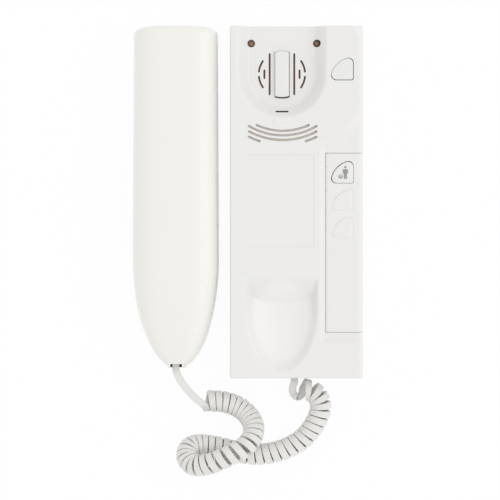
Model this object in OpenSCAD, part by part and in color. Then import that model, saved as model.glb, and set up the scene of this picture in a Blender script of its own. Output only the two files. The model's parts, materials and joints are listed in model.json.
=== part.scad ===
// Slimline wall phone: a door-entry handset station off the hook, base and handset lying side by side,
// joined by a flat curly cord. Millimetres. +Z leaves the front of the base, +Y is its top end,
// and the origin is the centre of its back face.

/* [Base unit] */
// Width of the base
base_w = 83; // [82:0.5:84]
// Length of the base
base_l = 220; // [218:1:222]
// Height of the raised front face above the wall
face_z = 28; // [27.5:0.25:29]
// Height of the lower right-hand column that carries the buttons
column_z = 25.5; // [25:0.25:26]
// Height of the floor of the earpiece cradle
dish_z = 19; // [18.5:0.25:19.5]
// Height of the floor of the mouthpiece recess
recess_z = 18; // [17.5:0.25:18.5]
// Wall thickness of the mouldings
wall = 2.2; // [2:0.1:2.4]
// Radius of the four corners seen from the front
corner_r = 1; // [0.8:0.1:2]
// Radius of the rounded front edges at the left, top and bottom
edge_r = 1.2; // [1:0.1:2]
// Radius of the rounded front edge at the right, beside the buttons
right_edge_r = 2.4; // [2:0.1:3]

/* [Handset] */
// Half of the width of the handset at its widest
grip_r = 27; // [26.5:0.25:27.25]
// Height of the crown of the handset over the faces of its two ends
crown_z = 33; // [31:0.5:35]
// Gap between the centre lines of the handset and of its cradle
handset_gap = 66.4; // [66:0.2:72]

/* [Cord] */
// Width of the flat cord where its curls have room
cord_w = 4.6; // [4:0.1:4.6]
// Thickness of the flat cord
cord_t = 2.4; // [2:0.1:2.4]
// Radius of the curls, at the middle of the cord
curl_r = 5.5; // [5.2:0.1:5.5]

/* [Travel] */
// Distance that a button is pressed
button_travel = 1.2; // [0.8:0.1:1.2]
// Gap round a button in its opening
button_gap = 0.35; // [0.25:0.05:0.5]

/* [Hidden] */

$fn = 64;
skin = 0.01;          // overlap that keeps cutters clear of coincident faces
past = 20;            // reach of a cutter beyond the face that it opens

// Base: the cradle and the mouthpiece recess lie on one axis, left of the middle
axis_x = -9;
dish_y = 80;
dish_rim_r = 27.5;
dish_floor_r = 21;
dish_slope = (dish_rim_r - dish_floor_r) / (face_z - dish_z);
recess_half = 22.3;
recess_top_y = -47.5;
recess_bend_y = -66;
recess_tip_y = -106.3;
cover_z = 0.5;        // the cover stops this far above the wall, so that the rear plate bears on it
plate_t = 2.5;
plate_gap = 0.4;
plate_corner_r = 1;
inside_x = base_w / 2 - wall;
inside_y = base_l / 2 - wall;

// Right-hand column, where the arc round the cradle and two slopes bound it
column_x = 18.4;
column_slope = 3;
column_top_y = 76;
column_end_y = -86.3;
arc_r = 55.5;

// Button strip that closes the column
strip_x = 18.4;
strip_top_y = 30.3;
strip_end_y = -81.3;
strip_gap = 0.3;
strip_side_z = 14;
ledge = 2.4;
blank_key_y = [1.55, -15.7];

// Keys: one outline, a quarter of a disc about its lower right corner, with three rounded corners
key_w = 14;
key_l = 13.8;
key_tip_r = 2.9;
key_foot_r = 1.3;
key_arc_r = 14.2;
key_arc_off = 7;
key_x = 28.6;
door_key_y = 83.2;
panel_key_y = 18.5;
key_proud = 0.6;
key_cap = 4.6;
key_flange = 1;
key_flange_t = 1.5;
stem_r = 2.4;

// Inside the base
board_z = 7;
board_t = 1.6;
board_half_x = 36;
board_y = [-42, 92];
board_top = board_z + board_t;
board_posts = [[-31, 86], [31, 60], [-31, -36], [31, -36]];
post_r = 3;
switch_h = 4.3;
stem_end_z = board_top + switch_h + button_travel + 0.1;
screw_points = [[-28.2, 99.2], [12.8, 99.2]];
screw_head_r = 2;
screw_shank_r = 1.4;
screw_head_t = 1.2;
screw_head_z = dish_z - 0.3;
tower_r = 3.2;
wall_screw_y = [-77.5, 102.5];
wall_screw_r = 2.25;
box_slot_y = -62;
box_slot_pitch = 60;
box_slot_r = 2.1;
box_slot_l = 9;
cable_hole = [30, 18];
cable_hole_y = -25;

// Electrical parts on the board: capacitors as [x, y, radius, height]
capacitor_at = [[-27, 66, 4, 7], [-27, 55, 3, 7], [24, -8, 4, 11], [24, -18, 3, 9]];
buzzer_y = 36;
buzzer_r = 17;
buzzer_h = 9;
buzzer_foot_r = 8;
buzzer_foot_h = 5;
buzzer_port_r = 3;
trimmer_at = [-26, 14];
trimmer_w = 10;
trimmer_dial_r = 3.2;
terminal_ways = 6;
terminal_pitch = 5;
terminal_size = [30, 9, 10];
terminal_y = -36;
terminal_floor = 7;

// Hook lever: a pad in the cradle on an arm that turns on a pin
pad_w = 8.8;
pad_r = 14.4;
pad_top_z = dish_z + 3;
pad_base_z = 16;
pad_slot_w = 9.6;
pad_slot_r = 15.2;
pad_slot_y = dish_y - 0.4;
pin_y = 98.5;
pin_z = 13.2;
pin_r = 1.2;
pin_clearance = 0.05;
barrel_r = 2.7;
barrel_l = 8;
ear_t = 2;
ear_gap = 0.4;
arm_y = [88, 93.5, 95];
hook_switch_size = [12.8, 5.8, 3.2];
hook_switch_y = 66;
spring_y = 84;
spring_r = 2.2;
spring_wire = 0.3;
spring_turns = 5;

// Spring tongue that grips the hung-up handset, in a slot at the foot of the cradle
catch_y = 56.5;
catch_w = 7.2;
catch_t = 0.8;
catch_h = 12;
catch_gap = 0.2;

// Slots in the cradle floor and over the buzzer
slot_w = 1.25;
ear_slot_r = 14.5;
ear_slots = [[6.5, 34.5], [145.5, 173.5], [186.5, 214.5], [325.5, 353.5]];
long_slot = [7.7, 26.3];
short_slot = [11, 6];
buzzer_arc_y = 83.2;
buzzer_slots = [[38.5, -25.2, 25.2], [41.3, -31, 31], [44.2, -28.7, 28.7],
    [47.2, -26.8, -18.2], [47.2, 18.2, 26.8]];

// Shallow field for the name label
label_at = [-8.85, 1.25];
label_size = [42.3, 58.1];
label_depth = 0.4;

// Handset, lying face down beside the base
handset_x = axis_x - handset_gap;
top_y = 110.4;
end_y = -103.8;
split_z = 14;
grip_z = 9.5;
taper_y = -35;
taper_l = 69.3;
end_half = 5.6;
nose_l = 5;
nose_in = 12.5;
crown_power = 2.5;
ear_top_r = 24.2;
ear_face_r = 20.4;
boss_lift = 0.5;       // the bosses reach this far into the face plate
boss_gap = 1;
boss_edge = 2.8;
mouth_slope = [[-64, 0], [-56, 3.5], [-49.5, 9.5]];
shell_screw_y = [50, -42];
shell_screw_r = 2.6;
sound_rings = [4, 8];
sound_hole_r = 1;
voice_y = -82;
voice_hole_r = 0.8;
voice_hole_x = [-3, 0, 3];
receiver_r = 17;
ballast = [24, 60, 6];
ballast_y = 15;
notch_w = 7.8;
notch_l = 2.6;
plug = [7.4, 12, 6.2];
jack = [12, 13.5, 11];
jack_z = 16;
jack_lip = 4;
lip_gap = 0.15;
base_jack_x = -1.2;
base_jack_z = 8;

// Cord: where the curls run, as [x, y, z, turn], and the two straight leads
curl_route = [[-56.5, -124.8, 6.9, 0], [-46, -125.4, 6.9, 2.4], [-37, -128.4, 7, 4.8],
    [-30.6, -133.4, 8.6, 7.2], [-26.8, -140.4, 12.4, 9.9], [-28, -147.8, 17.2, 12.4],
    [-33.4, -153.8, 20.9, 14.3], [-41.4, -158.4, 21.6, 15.9], [-50, -162.2, 20.6, 17.5],
    [-58, -164.6, 18.6, 19.2], [-64.8, -164.4, 16.2, 21.1], [-68.6, -159.4, 12.6, 23.6],
    [-66.6, -154, 9.4, 25.9], [-60.4, -152.4, 7.4, 28], [-50.8, -153.6, 6.9, 30.4],
    [-40, -156.2, 6.9, 32.6], [-28, -158.4, 6.9, 35], [-16, -157.6, 6.9, 37.4],
    [-5, -154.2, 6.9, 39.7], [4.4, -148.4, 6.9, 41.9], [11, -140.4, 6.9, 44.1],
    [15, -131.6, 6.9, 46.2], [14.8, -124.8, 6.9, 47.8], [10.8, -119.4, 6.9, 49.3],
    [4.4, -117.2, 6.9, 50.375]];
curl_phase = 135;
curl_rings = 8;
curl_gap = 0.42;       // left between one curl and the next
least_w = 0.8;         // width of the cord where the curls bunch up inside a bend
lead_handset = [[handset_x, end_y + notch_l, jack_z], [handset_x, end_y - 1.2, jack_z],
    [-74.2, -108.5, 15.8], [-71.8, -112.8, 15.3], [-68.6, -117.2, 14.6], [-65, -121.2, 13.9],
    [-61.2, -124.6, 13.3], [-58.2, -127, 12.6]];
lead_base = [[3.4, -121.2, 1.5], [0.6, -122.6, 2.1], [-1.8, -120.4, 3.8], [-2.2, -116.8, 6.2],
    [base_jack_x, -113.4, base_jack_z], [base_jack_x, 0.2 - base_l / 2, base_jack_z]];

// ---------------------------------------------------------------- outlines

// Rectangle with true arcs at its corners
module rounded_rect(w, l, r) {
    square([w - 2 * r, l], center = true);
    square([w, l - 2 * r], center = true);
    for (x = [-1, 1], y = [-1, 1])
        translate([x * (w / 2 - r), y * (l / 2 - r)]) circle(r);
}

// Points of an arc about c, from angle a to angle b, without its first and last few where skip says so
function arc_points(c, r, a, b, steps, skip = 0) =
    [for (i = [skip : steps - skip], t = a + (b - a) * i / steps) c + r * [cos(t), sin(t)]];

// Outline of a key, grown by g all round; its arc meets the rounds of its two tips where the slopes agree
module key_outline(g = 0) {
    side = key_w / 2 + g;
    foot = -key_l / 2 - g;
    c = [key_arc_off, -key_arc_off];
    reach = key_arc_r + g - key_tip_r;
    right = [side - key_tip_r, c[1] + sqrt(pow(reach, 2) - pow(side - key_tip_r - c[0], 2))];
    left = [c[0] - sqrt(pow(reach, 2) - pow(foot + key_tip_r - c[1], 2)), foot + key_tip_r];
    start = atan2(right[1] - c[1], right[0] - c[0]);
    end = atan2(left[1] - c[1], left[0] - c[0]);
    polygon(concat(arc_points(right, key_tip_r, 0, start, 6), arc_points(c, key_arc_r + g, start, end, 14, 1),
        arc_points(left, key_tip_r, end, 270, 6),
        arc_points([side - key_foot_r, foot + key_foot_r], key_foot_r, -90, 0, 4)));
}

// Curved slot, from angle a to angle b on a circle of radius r
module arc_slot(r, a, b, w = slot_w, steps = 12) {
    polygon([for (i = [0 : steps], a1 = a + (b - a) * i / steps) (r + w / 2) * [cos(a1), sin(a1)],
        for (i = [steps : -1 : 0], a2 = a + (b - a) * i / steps) (r - w / 2) * [cos(a2), sin(a2)]]);
    for (e = [a, b]) translate(r * [cos(e), sin(e)]) circle(w / 2, $fn = 16);
}

// Straight slot with round ends, l long overall, along Y
module line_slot(l, w = slot_w) {
    square([w, l - w], center = true);
    for (y = [-1, 1]) translate([0, y * (l - w) / 2]) circle(w / 2, $fn = 16);
}

// Outline of the mouthpiece recess, grown by g: straight sides that close in a half ellipse
function recess_outline(g) = let (h = recess_half + g, l = recess_bend_y - recess_tip_y + g)
    concat([[h, recess_top_y + g], [-h, recess_top_y + g]],
        [for (a = [180 : 9 : 360]) [h * cos(a), recess_bend_y + l * sin(a)]]);

// ---------------------------------------------------------------- sweeps

// Extrudes a YZ profile along X from x0 to x1
module along_x(x0, x1) {
    translate([x0, 0, 0]) rotate([90, 0, 90]) linear_extrude(x1 - x0) children();
}

// Extrudes an XZ profile along Y from y0 to y1
module along_y(y0, y1) {
    translate([0, y1, 0]) rotate([90, 0, 0]) linear_extrude(y1 - y0) children();
}

// Skin of a list of rings of equal length, closed by its first and last ring
module skin_over(rings) {
    n = len(rings[0]);
    m = len(rings);
    faces = concat(
        [[for (k = [0 : n - 1]) k]],
        [for (i = [0 : m - 2], k = [0 : n - 1], t = [0, 1])
            let (a = i * n + k, b = i * n + (k + 1) % n)
                t == 0 ? [a, a + n, b] : [b, a + n, b + n]],
        [[for (k = [n - 1 : -1 : 0]) (m - 1) * n + k]]);
    polyhedron([for (r = rings) each r], faces);
}

function unit(v) = v / norm(v);

// ---------------------------------------------------------------- base mouldings

// Outer body of the base, its front edges rounded
module base_block() {
    intersection() {
        translate([0, 0, cover_z]) linear_extrude(face_z) rounded_rect(base_w, base_l, corner_r);
        along_y(-base_l, base_l) rounded_rect(base_w, 2 * face_z, edge_r);
        translate([-base_w / 2, 0, 0]) along_y(-base_l, base_l)
            rounded_rect(2 * base_w, 2 * face_z, right_edge_r);
        along_x(-base_w, base_w) rounded_rect(base_l, 2 * face_z, edge_r);
    }
}

// Earpiece cradle: a cone that runs out through the top end, grown by g
module dish(g = 0) {
    r0 = dish_floor_r + g;
    r1 = r0 + dish_slope * (face_z - dish_z + past);
    z0 = dish_z - g;
    z1 = z0 + face_z - dish_z + past;
    translate([axis_x, dish_y, z0]) cylinder(h = z1 - z0, r1 = r0, r2 = r1);
    translate([axis_x, 0, 0]) along_y(dish_y, base_l / 2 + past)
        polygon([[-r0, z0], [r0, z0], [r1, z1], [-r1, z1]]);
}

// Mouthpiece recess: its floor, and the scooped slope at its upper end, grown by g
module recess(g = 0) {
    intersection() {
        translate([axis_x, 0, 0]) linear_extrude(face_z + past) polygon(recess_outline(g));
        along_x(-base_w, base_w) polygon([[recess_top_y + g, face_z + past],
            [recess_top_y + g, face_z], [recess_top_y - 6.9, recess_z + 4 - g],
            [recess_top_y - 17, recess_z - g], [-base_l / 2, recess_z - g],
            [-base_l / 2, face_z + past]]);
    }
}

// Material above the right-hand column, grown by g, outside the arc round the cradle
module column(g = 0) {
    z0 = column_z - g;
    rise = face_z + past - z0;
    run = column_slope * rise / (face_z - column_z);
    difference() {
        intersection() {
            along_y(column_end_y - run, column_top_y)
                polygon([[column_x - g, z0], [base_w, z0], [base_w, z0 + rise],
                    [column_x - g - run, z0 + rise]]);
            along_x(0, base_w) polygon([[column_end_y - g, z0], [column_top_y, z0],
                [column_top_y, z0 + rise], [column_end_y - g - run, z0 + rise]]);
        }
        translate([axis_x, dish_y, z0 - skin])
            cylinder(h = rise + 1, r1 = arc_r - g, r2 = arc_r - g - run);
    }
}

// Walls of the cover before any opening is cut
module cover_shell() {
    difference() {
        base_block();
        dish();
        recess();
        column();
        difference() {
            linear_extrude(face_z - wall) square(2 * [inside_x, inside_y], center = true);
            dish(wall);
            recess(wall);
            column(wall);
        }
    }
}

// Space that the button strip takes in the cover, grown by g
module strip_space(g = 0) {
    translate([strip_x - g, strip_end_y - g, strip_side_z - g])
        cube([base_w / 2, strip_top_y - strip_end_y + 2 * g, face_z]);
}

// Everything that is cut through the cover from the front
module cover_openings() {
    translate([0, 0, dish_z - wall - 1]) {
        linear_extrude(past) translate([key_x, door_key_y]) key_outline(button_gap);
        linear_extrude(wall + 2) {
            intersection() {
                translate([axis_x, pad_slot_y]) circle(pad_slot_r);
                translate([axis_x, pad_slot_y]) square([pad_slot_w, 2 * pad_slot_r], center = true);
            }
            translate([axis_x, dish_y]) {
                for (s = ear_slots) arc_slot(ear_slot_r, s[0], s[1]);
                for (side = [-1, 1]) {
                    translate([side * long_slot[0], 0]) line_slot(long_slot[1]);
                    translate([side * short_slot[0], 0]) line_slot(short_slot[1]);
                }
            }
        }
    }
    translate([axis_x, buzzer_arc_y, face_z - wall - 1]) linear_extrude(past)
        for (s = buzzer_slots) arc_slot(s[0], s[1] - 90, s[2] - 90, slot_w + 0.1);
    for (p = screw_points) translate([p[0], p[1], 0]) {
        translate([0, 0, screw_head_z - screw_head_t]) cylinder(h = past, r = screw_head_r + 0.15);
        cylinder(h = past, r = screw_shank_r + 0.1);
    }
}

// Shallow label field and the slot of the cradle catch
module cover_marks() {
    translate([label_at[0], label_at[1], face_z - label_depth]) linear_extrude(past)
        rounded_rect(label_size[0], label_size[1], 0.6);
    translate([axis_x, catch_y, dish_z - wall - 1]) linear_extrude(past)
        square([catch_w, catch_t] + 2 * [catch_gap, catch_gap], center = true);
}

module front_cover() {
    color("whitesmoke") {
        difference() {
            cover_shell();
            strip_space(strip_gap);
            cover_openings();
            cover_marks();
            translate([base_jack_x, -base_l / 2, 0])
                cube([jack[0] + 0.2, past, 2 * (base_jack_z + jack[2] / 2 + 0.1)], center = true);
        }
        // Ledges that carry the button strip
        for (y = [strip_end_y - 1, strip_top_y - ledge + 1])
            translate([strip_x - 2, y, column_z - 2 * wall]) cube([inside_x - strip_x + 2, ledge, wall]);
        translate([strip_x - 2, strip_end_y, column_z - 2 * wall])
            cube([2 + ledge - 1, strip_top_y - strip_end_y, wall]);
    }
}

module rear_plate() {
    color("gainsboro") difference() {
        union() {
            linear_extrude(plate_t)
                rounded_rect(2 * (inside_x - plate_gap), 2 * (inside_y - plate_gap), plate_corner_r);
            for (p = board_posts) translate([p[0], p[1], 0]) cylinder(h = board_z, r = post_r);
            for (p = screw_points) translate([p[0], p[1], 0]) cylinder(h = dish_z - wall, r = tower_r);
        }
        for (p = board_posts) translate([p[0], p[1], plate_t]) cylinder(h = past, r = 1);
        for (p = screw_points) translate([p[0], p[1], plate_t]) cylinder(h = past, r = screw_shank_r);
        for (y = wall_screw_y) translate([0, y, -1]) cylinder(h = past, r = wall_screw_r);
        for (x = [-1, 1]) translate([x * box_slot_pitch / 2, box_slot_y, -1])
            linear_extrude(past) rotate(90) line_slot(box_slot_l, 2 * box_slot_r, $fn = 48);
        translate([0, cable_hole_y, 0]) cube([cable_hole[0], cable_hole[1], past], center = true);
    }
}

module panel_strip() {
    color("whitesmoke") difference() {
        intersection() {
            cover_shell();
            strip_space();
        }
        translate([key_x, panel_key_y, strip_side_z]) linear_extrude(past) key_outline(button_gap);
        for (y = blank_key_y) translate([key_x, y, column_z - 0.4]) linear_extrude(past)
            difference() {
                key_outline();
                key_outline(-0.4);
            }
    }
}

// Key: a cap, a flange under the opening and a stem over its switch
module key(top_z) {
    cap_z = top_z + key_proud - key_cap;
    translate([key_x, 0, 0]) {
        translate([0, 0, cap_z]) linear_extrude(key_cap) key_outline();
        translate([0, 0, top_z - wall - 0.4 - key_flange_t]) linear_extrude(key_flange_t)
            key_outline(key_flange);
        translate([0, 0, stem_end_z]) cylinder(h = top_z - 3 - stem_end_z, r = stem_r);
    }
}

module door_button() { color("white") translate([0, door_key_y, 0]) key(face_z); }

module panel_button() { color("white") translate([0, panel_key_y, 0]) key(column_z); }

// ---------------------------------------------------------------- hook switch

module hook_lever() {
    color("white") difference() {
        union() {
            translate([axis_x, dish_y, pad_base_z]) intersection() {
                cylinder(h = pad_top_z - pad_base_z, r = pad_r);
                translate([-pad_w / 2, -pad_r, 0]) cube([pad_w, 2 * pad_r, past]);
            }
            along_x(axis_x - barrel_l / 2, axis_x + barrel_l / 2)
                polygon([[arm_y[0], pad_base_z], [arm_y[0], pad_base_z + 0.4],
                    [arm_y[1], pad_base_z + 0.4], [pin_y, pin_z + barrel_r],
                    [pin_y, pin_z - barrel_r], [arm_y[2], pin_z - 1]]);
            along_x(axis_x - barrel_l / 2, axis_x + barrel_l / 2)
                translate([pin_y, pin_z]) circle(barrel_r);
        }
        along_x(axis_x - past, axis_x + past) translate([pin_y, pin_z]) circle(pin_r + pin_clearance);
    }
}

// Two ears on a foot, which hold the ends of the pin
module lever_bracket() {
    reach = barrel_l / 2 + ear_gap;
    color("gainsboro") difference() {
        union() {
            for (side = [-1, 1])
                translate([axis_x + side * (reach + ear_t / 2) - ear_t / 2, pin_y - 3, plate_t])
                    cube([ear_t, 6, pin_z + 2.8 - plate_t]);
            translate([axis_x - reach, pin_y - 3, plate_t]) cube([2 * reach, 6, 1.5]);
        }
        along_x(axis_x - past, axis_x + past) translate([pin_y, pin_z]) circle(pin_r);
    }
}

module lever_pin() {
    reach = barrel_l / 2 + ear_gap + ear_t;
    color("silver") along_x(axis_x - reach, axis_x + reach) translate([pin_y, pin_z]) circle(pin_r);
}

// Compression spring under the lever
module lever_spring() {
    steps = 10 * spring_turns;
    h = pad_base_z - board_top - 4 * spring_wire;
    centres = [for (i = [0 : steps]) [axis_x + spring_r * cos(36 * i), spring_y + spring_r * sin(36 * i),
        board_top + 0.4 + h * i / steps]];
    color("silver") skin_over(round_rings(centres, spring_wire, 6));
}

module hook_switch() {
    color("dimgray") {
        translate([axis_x - hook_switch_size[0] / 2, hook_switch_y, board_top]) cube(hook_switch_size);
        translate([axis_x, hook_switch_y + 3, board_top]) cylinder(h = hook_switch_size[2] + 0.8, r = 1);
    }
}

// ---------------------------------------------------------------- electrics in the base

module circuit_board() {
    color("saddlebrown") translate([0, 0, board_z]) difference() {
        linear_extrude(board_t) polygon([[-board_half_x, board_y[0]], [board_half_x, board_y[0]],
            [board_half_x, board_y[1]], [-board_half_x, board_y[1]]]);
        for (p = board_posts) translate([p[0], p[1], -1]) cylinder(h = past, r = 1.2);
    }
}

module button_switches() {
    color("dimgray") for (y = [door_key_y, panel_key_y]) translate([key_x, y, board_top]) {
        translate([-3, -3, 0]) cube([6, 6, switch_h - 0.9]);
        cylinder(h = switch_h, r = 1.7);
    }
}

module capacitors() {
    color("darkslateblue") for (p = capacitor_at)
        translate([p[0], p[1], board_top]) cylinder(h = p[3], r = p[2]);
}

// Buzzer under the curved slots, on a foot that lifts it off the board
module buzzer() {
    rim_z = board_top + buzzer_foot_h - 0.6;
    color("dimgray") translate([axis_x, buzzer_y, 0]) difference() {
        union() {
            translate([0, 0, rim_z]) cylinder(h = buzzer_h, r = buzzer_r);
            translate([0, 0, board_top]) cylinder(h = buzzer_foot_h, r = buzzer_foot_r);
        }
        translate([0, 0, rim_z + buzzer_port_r]) cylinder(h = past, r = buzzer_port_r);
    }
}

module volume_trimmer() {
    color("steelblue") translate([trimmer_at[0], trimmer_at[1], board_top]) difference() {
        union() {
            translate([-trimmer_w / 2, -trimmer_w / 2, 0]) cube([trimmer_w, trimmer_w, 4]);
            cylinder(h = 6, r = trimmer_dial_r);
        }
        translate([0.2 - trimmer_dial_r, -0.4, 5]) cube([2 * trimmer_dial_r - 0.4, 0.8, 2]);
    }
}

function terminal_x(i) = terminal_pitch * (i - (terminal_ways - 1) / 2);

// Six-way terminal block over the cable hole
module terminal_block() {
    color("seagreen") difference() {
        translate([-terminal_size[0] / 2, terminal_y - 4, board_top]) cube(terminal_size);
        for (i = [0 : terminal_ways - 1]) translate([terminal_x(i), terminal_y, 0]) {
            translate([0, 0, board_top + terminal_floor]) cylinder(h = past, r = 1.8);
            translate([-1.5, -5, board_top + 1.5]) cube([3, 5, 3]);
        }
    }
}

module terminal_screws() {
    color("silver") for (i = [0 : terminal_ways - 1])
        translate([terminal_x(i), terminal_y, board_top + terminal_floor]) difference() {
            cylinder(h = 2, r = 1.7);
            translate([-1.2, -0.25, 1.3]) cube([2.4, 0.5, 1]);
        }
}

// Spring tongue in the slope below the cradle, which grips the hung-up handset
module cradle_catch() {
    color("dimgray") translate([axis_x, 0, 0]) {
        translate([-catch_w / 2, catch_y - catch_t / 2, board_top]) cube([catch_w, catch_t, catch_h]);
        translate([-catch_w / 2, catch_y, board_top]) cube([catch_w, 6, catch_t]);
    }
}

// Screw with a domed head and a straight slot
module screw(head_r, shank_r, length) {
    difference() {
        union() {
            translate([0, 0, -screw_head_t]) cylinder(h = screw_head_t, r = head_r);
            translate([0, 0, -length]) cylinder(h = length, r = shank_r);
        }
        translate([-head_r, -0.3, -0.6]) cube([2 * head_r, 0.6, 1]);
    }
}

module cover_screws() {
    color("sienna") for (p = screw_points)
        translate([p[0], p[1], screw_head_z]) screw(screw_head_r, screw_shank_r, 10);
}

module board_screws() {
    color("silver") for (p = board_posts)
        translate([p[0], p[1], board_top + screw_head_t]) screw(2, 1, board_t + 5);
}

// ---------------------------------------------------------------- cord connectors

// Socket whose mouth faces -Y, on the origin
module jack_body() {
    difference() {
        translate([-jack[0] / 2, 0, -jack[2] / 2]) cube(jack);
        translate([-plug[0] / 2 - 0.15, -1, -plug[2] / 2 - 0.15])
            cube([plug[0] + 0.3, plug[1] + 1.5, plug[2] + 0.3]);
    }
}

// Four-way plug whose cord end faces -Y, on the origin
module plug_body() {
    translate([-plug[0] / 2, 0, -plug[2] / 2]) cube(plug);
}

module base_jack() {
    color("dimgray") translate([base_jack_x, -base_l / 2 + 0.2, base_jack_z]) jack_body();
}

module plug_base() {
    color("lightgray") translate([base_jack_x, -base_l / 2 + 0.2, base_jack_z]) plug_body();
}

// Its lip closes the notch under the cord
module handset_jack() {
    color("dimgray") translate([handset_x, end_y + notch_l, jack_z]) {
        jack_body();
        translate([lip_gap - notch_w / 2, 2 * lip_gap - notch_l, -jack[2] / 2])
            cube([notch_w - 2 * lip_gap, notch_l - 2 * lip_gap, jack_lip]);
    }
}

module plug_handset() {
    color("lightgray") translate([handset_x, end_y + notch_l, jack_z]) plug_body();
}

// ---------------------------------------------------------------- handset

// Half width of the handset at y, its crown height and the height where it stops
function taper(y) = y > taper_y ? 1 : sqrt(max(0, 1 - pow((taper_y - y) / taper_l, 2)));
function nose(y) = let (d = max(0, nose_l - (top_y - y)) / nose_l) 1 - sqrt(max(0, 1 - d * d));
function half_at(y) = max(end_half, (grip_r - 0.7 * max(0, min(1, (y + 40) / 150))) * taper(y))
    - nose_in * nose(y);
function crown_at(y) = split_z + (crown_z - split_z) * pow(max(taper(y), 0.16), 0.45) - 7 * nose(y);

// Stations along the handset, close together where it turns in, inset by g
function stations(g) = let (a = top_y - g, b = end_y + g)
    [a, a - 0.3, a - 1, a - 2.2, a - 4, a - 7, 80, 50, 20, -10, -35, -45, -55, -63, -71, -79, -86,
        -92, b + 4.5, b + 1.5, b];

// Ring of the domed back at y, inset by g and left open below split_z
function back_ring(y, g) = let (w = half_at(y) - g, h = crown_at(y) - g - split_z)
    concat([[handset_x + w, y, split_z - (g > 0 ? 1 : 0)]],
        [for (a = [0 : 12 : 180]) [handset_x + w * sign(cos(a)) * pow(abs(cos(a)), 2 / crown_power),
            y, split_z + skin + h * pow(sin(a), 2 / crown_power)]],
        [[handset_x - w, y, split_z - (g > 0 ? 1 : 0)]]);

// Ring of the flat face side at y, inset by g
function face_ring(y, g) = let (w = half_at(y) - g, lid = split_z + (g > 0 ? 1 : 0))
    [[handset_x - w, y, lid], [handset_x - w, y, grip_z + 2.5 + g / 2],
        [handset_x - w + 2.5, y, grip_z + g], [handset_x + w - 2.5, y, grip_z + g],
        [handset_x + w, y, grip_z + 2.5 + g / 2], [handset_x + w, y, lid]];

module back_shell() {
    color("ivory") difference() {
        union() {
            difference() {
                skin_over([for (y = stations(0)) back_ring(y, 0)]);
                skin_over([for (y = stations(wall)) back_ring(y, wall)]);
            }
            for (y = shell_screw_y) translate([handset_x, y, grip_z + wall])
                cylinder(h = crown_z - wall / 2 - grip_z - wall, r = 3);
        }
        for (y = shell_screw_y) translate([handset_x, y, 0]) cylinder(h = past, r = screw_shank_r);
        cord_notch();
    }
}

// Notch in the lower end of the handset, which the cord leaves by
module cord_notch() {
    translate([handset_x - notch_w / 2, end_y - 1, 0]) cube([notch_w, notch_l + 1, crown_z]);
    translate([handset_x - jack[0] / 2 - 0.1, end_y + notch_l, jack_z - jack[2] / 2 - 0.1])
        cube([jack[0] + 0.2, jack[1] + 0.1, jack[2] + 0.2]);
}

// Boss of the earpiece, inset by g and cut off at height z0
module ear_boss(g = 0, z0 = 0) {
    lift = grip_z + boss_lift + g;
    slope = (ear_top_r - ear_face_r) / grip_z;
    r0 = ear_face_r - g + slope * z0;
    r1 = ear_face_r - g + slope * lift;
    translate([handset_x, dish_y, z0]) cylinder(h = lift - z0, r1 = r0, r2 = r1);
    translate([handset_x, 0, 0]) along_y(dish_y, top_y - 4 - g)
        polygon([[-r0, z0], [r0, z0], [r1, lift], [-r1, lift]]);
}

// Boss of the mouthpiece, inset by g and cut off at height z0
module mouth_boss(g = 0, z0 = 0) {
    lift = grip_z + boss_lift + g;
    ys = [for (y = stations(0)) if (y < -40 && y > end_y + 4) y];
    half = [for (y = ys) min(recess_half - boss_gap, half_at(y) - boss_edge) - g];
    last = len(ys) - 1;
    intersection() {
        translate([handset_x, 0, z0]) linear_extrude(lift - z0)
            polygon(concat([for (i = [0 : last]) [half[i], ys[i] + (i == last ? g : 0)]],
                [for (i = [last : -1 : 0]) [-half[i], ys[i] + (i == last ? g : 0)]]));
        along_x(handset_x - grip_r, handset_x + grip_r)
            polygon(concat([for (p = mouth_slope) p - [g, 0]],
                [[mouth_slope[2][0] - g, lift], [end_y, lift], [end_y, 0]]));
    }
}

module front_shell() {
    sound_holes = [[0, 0], for (r = sound_rings, k = [0 : 5]) r * [cos(60 * k), sin(60 * k)]];
    color("ivory") difference() {
        union() {
            skin_over([for (y = stations(0)) face_ring(y, 0)]);
            ear_boss();
            mouth_boss();
        }
        skin_over([for (y = stations(wall)) face_ring(y, wall)]);
        ear_boss(wall, wall);
        mouth_boss(wall, wall);
        for (p = sound_holes) translate([handset_x + p[0], dish_y + p[1], -1])
            cylinder(h = 5, r = sound_hole_r, $fn = 16);
        for (x = voice_hole_x) translate([handset_x + x, voice_y, -1])
            cylinder(h = 5, r = voice_hole_r, $fn = 16);
        for (y = shell_screw_y) translate([handset_x, y, 0]) {
            cylinder(h = past, r = screw_shank_r + 0.1);
            cylinder(h = grip_z + 0.2 + screw_head_t, r = shell_screw_r + 0.15);
        }
        cord_notch();
    }
}

module receiver_capsule() {
    color("dimgray") translate([handset_x, dish_y, 0]) {
        translate([0, 0, wall + 1.2]) cylinder(h = 6, r = receiver_r);
        translate([0, 0, wall + 7.2]) cylinder(h = 5, r = receiver_r - 6);
    }
}

module receiver_ring() {
    color("black") translate([handset_x, dish_y, wall]) difference() {
        cylinder(h = 1.2, r = receiver_r);
        translate([0, 0, -1]) cylinder(h = past, r = receiver_r - 4);
    }
}

module microphone_capsule() {
    color("silver") translate([handset_x, voice_y, wall]) cylinder(h = 6.5, r = 4.9);
}

module ballast_weight() {
    color("slategray") translate([handset_x, ballast_y, grip_z + wall]) linear_extrude(ballast[2])
        rounded_rect(ballast[0], ballast[1], 2);
}

module shell_screws() {
    color("silver") for (y = shell_screw_y)
        translate([handset_x, y, grip_z + 0.2]) mirror([0, 0, 1]) screw(shell_screw_r, screw_shank_r, 9);
}

// ---------------------------------------------------------------- cord

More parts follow.
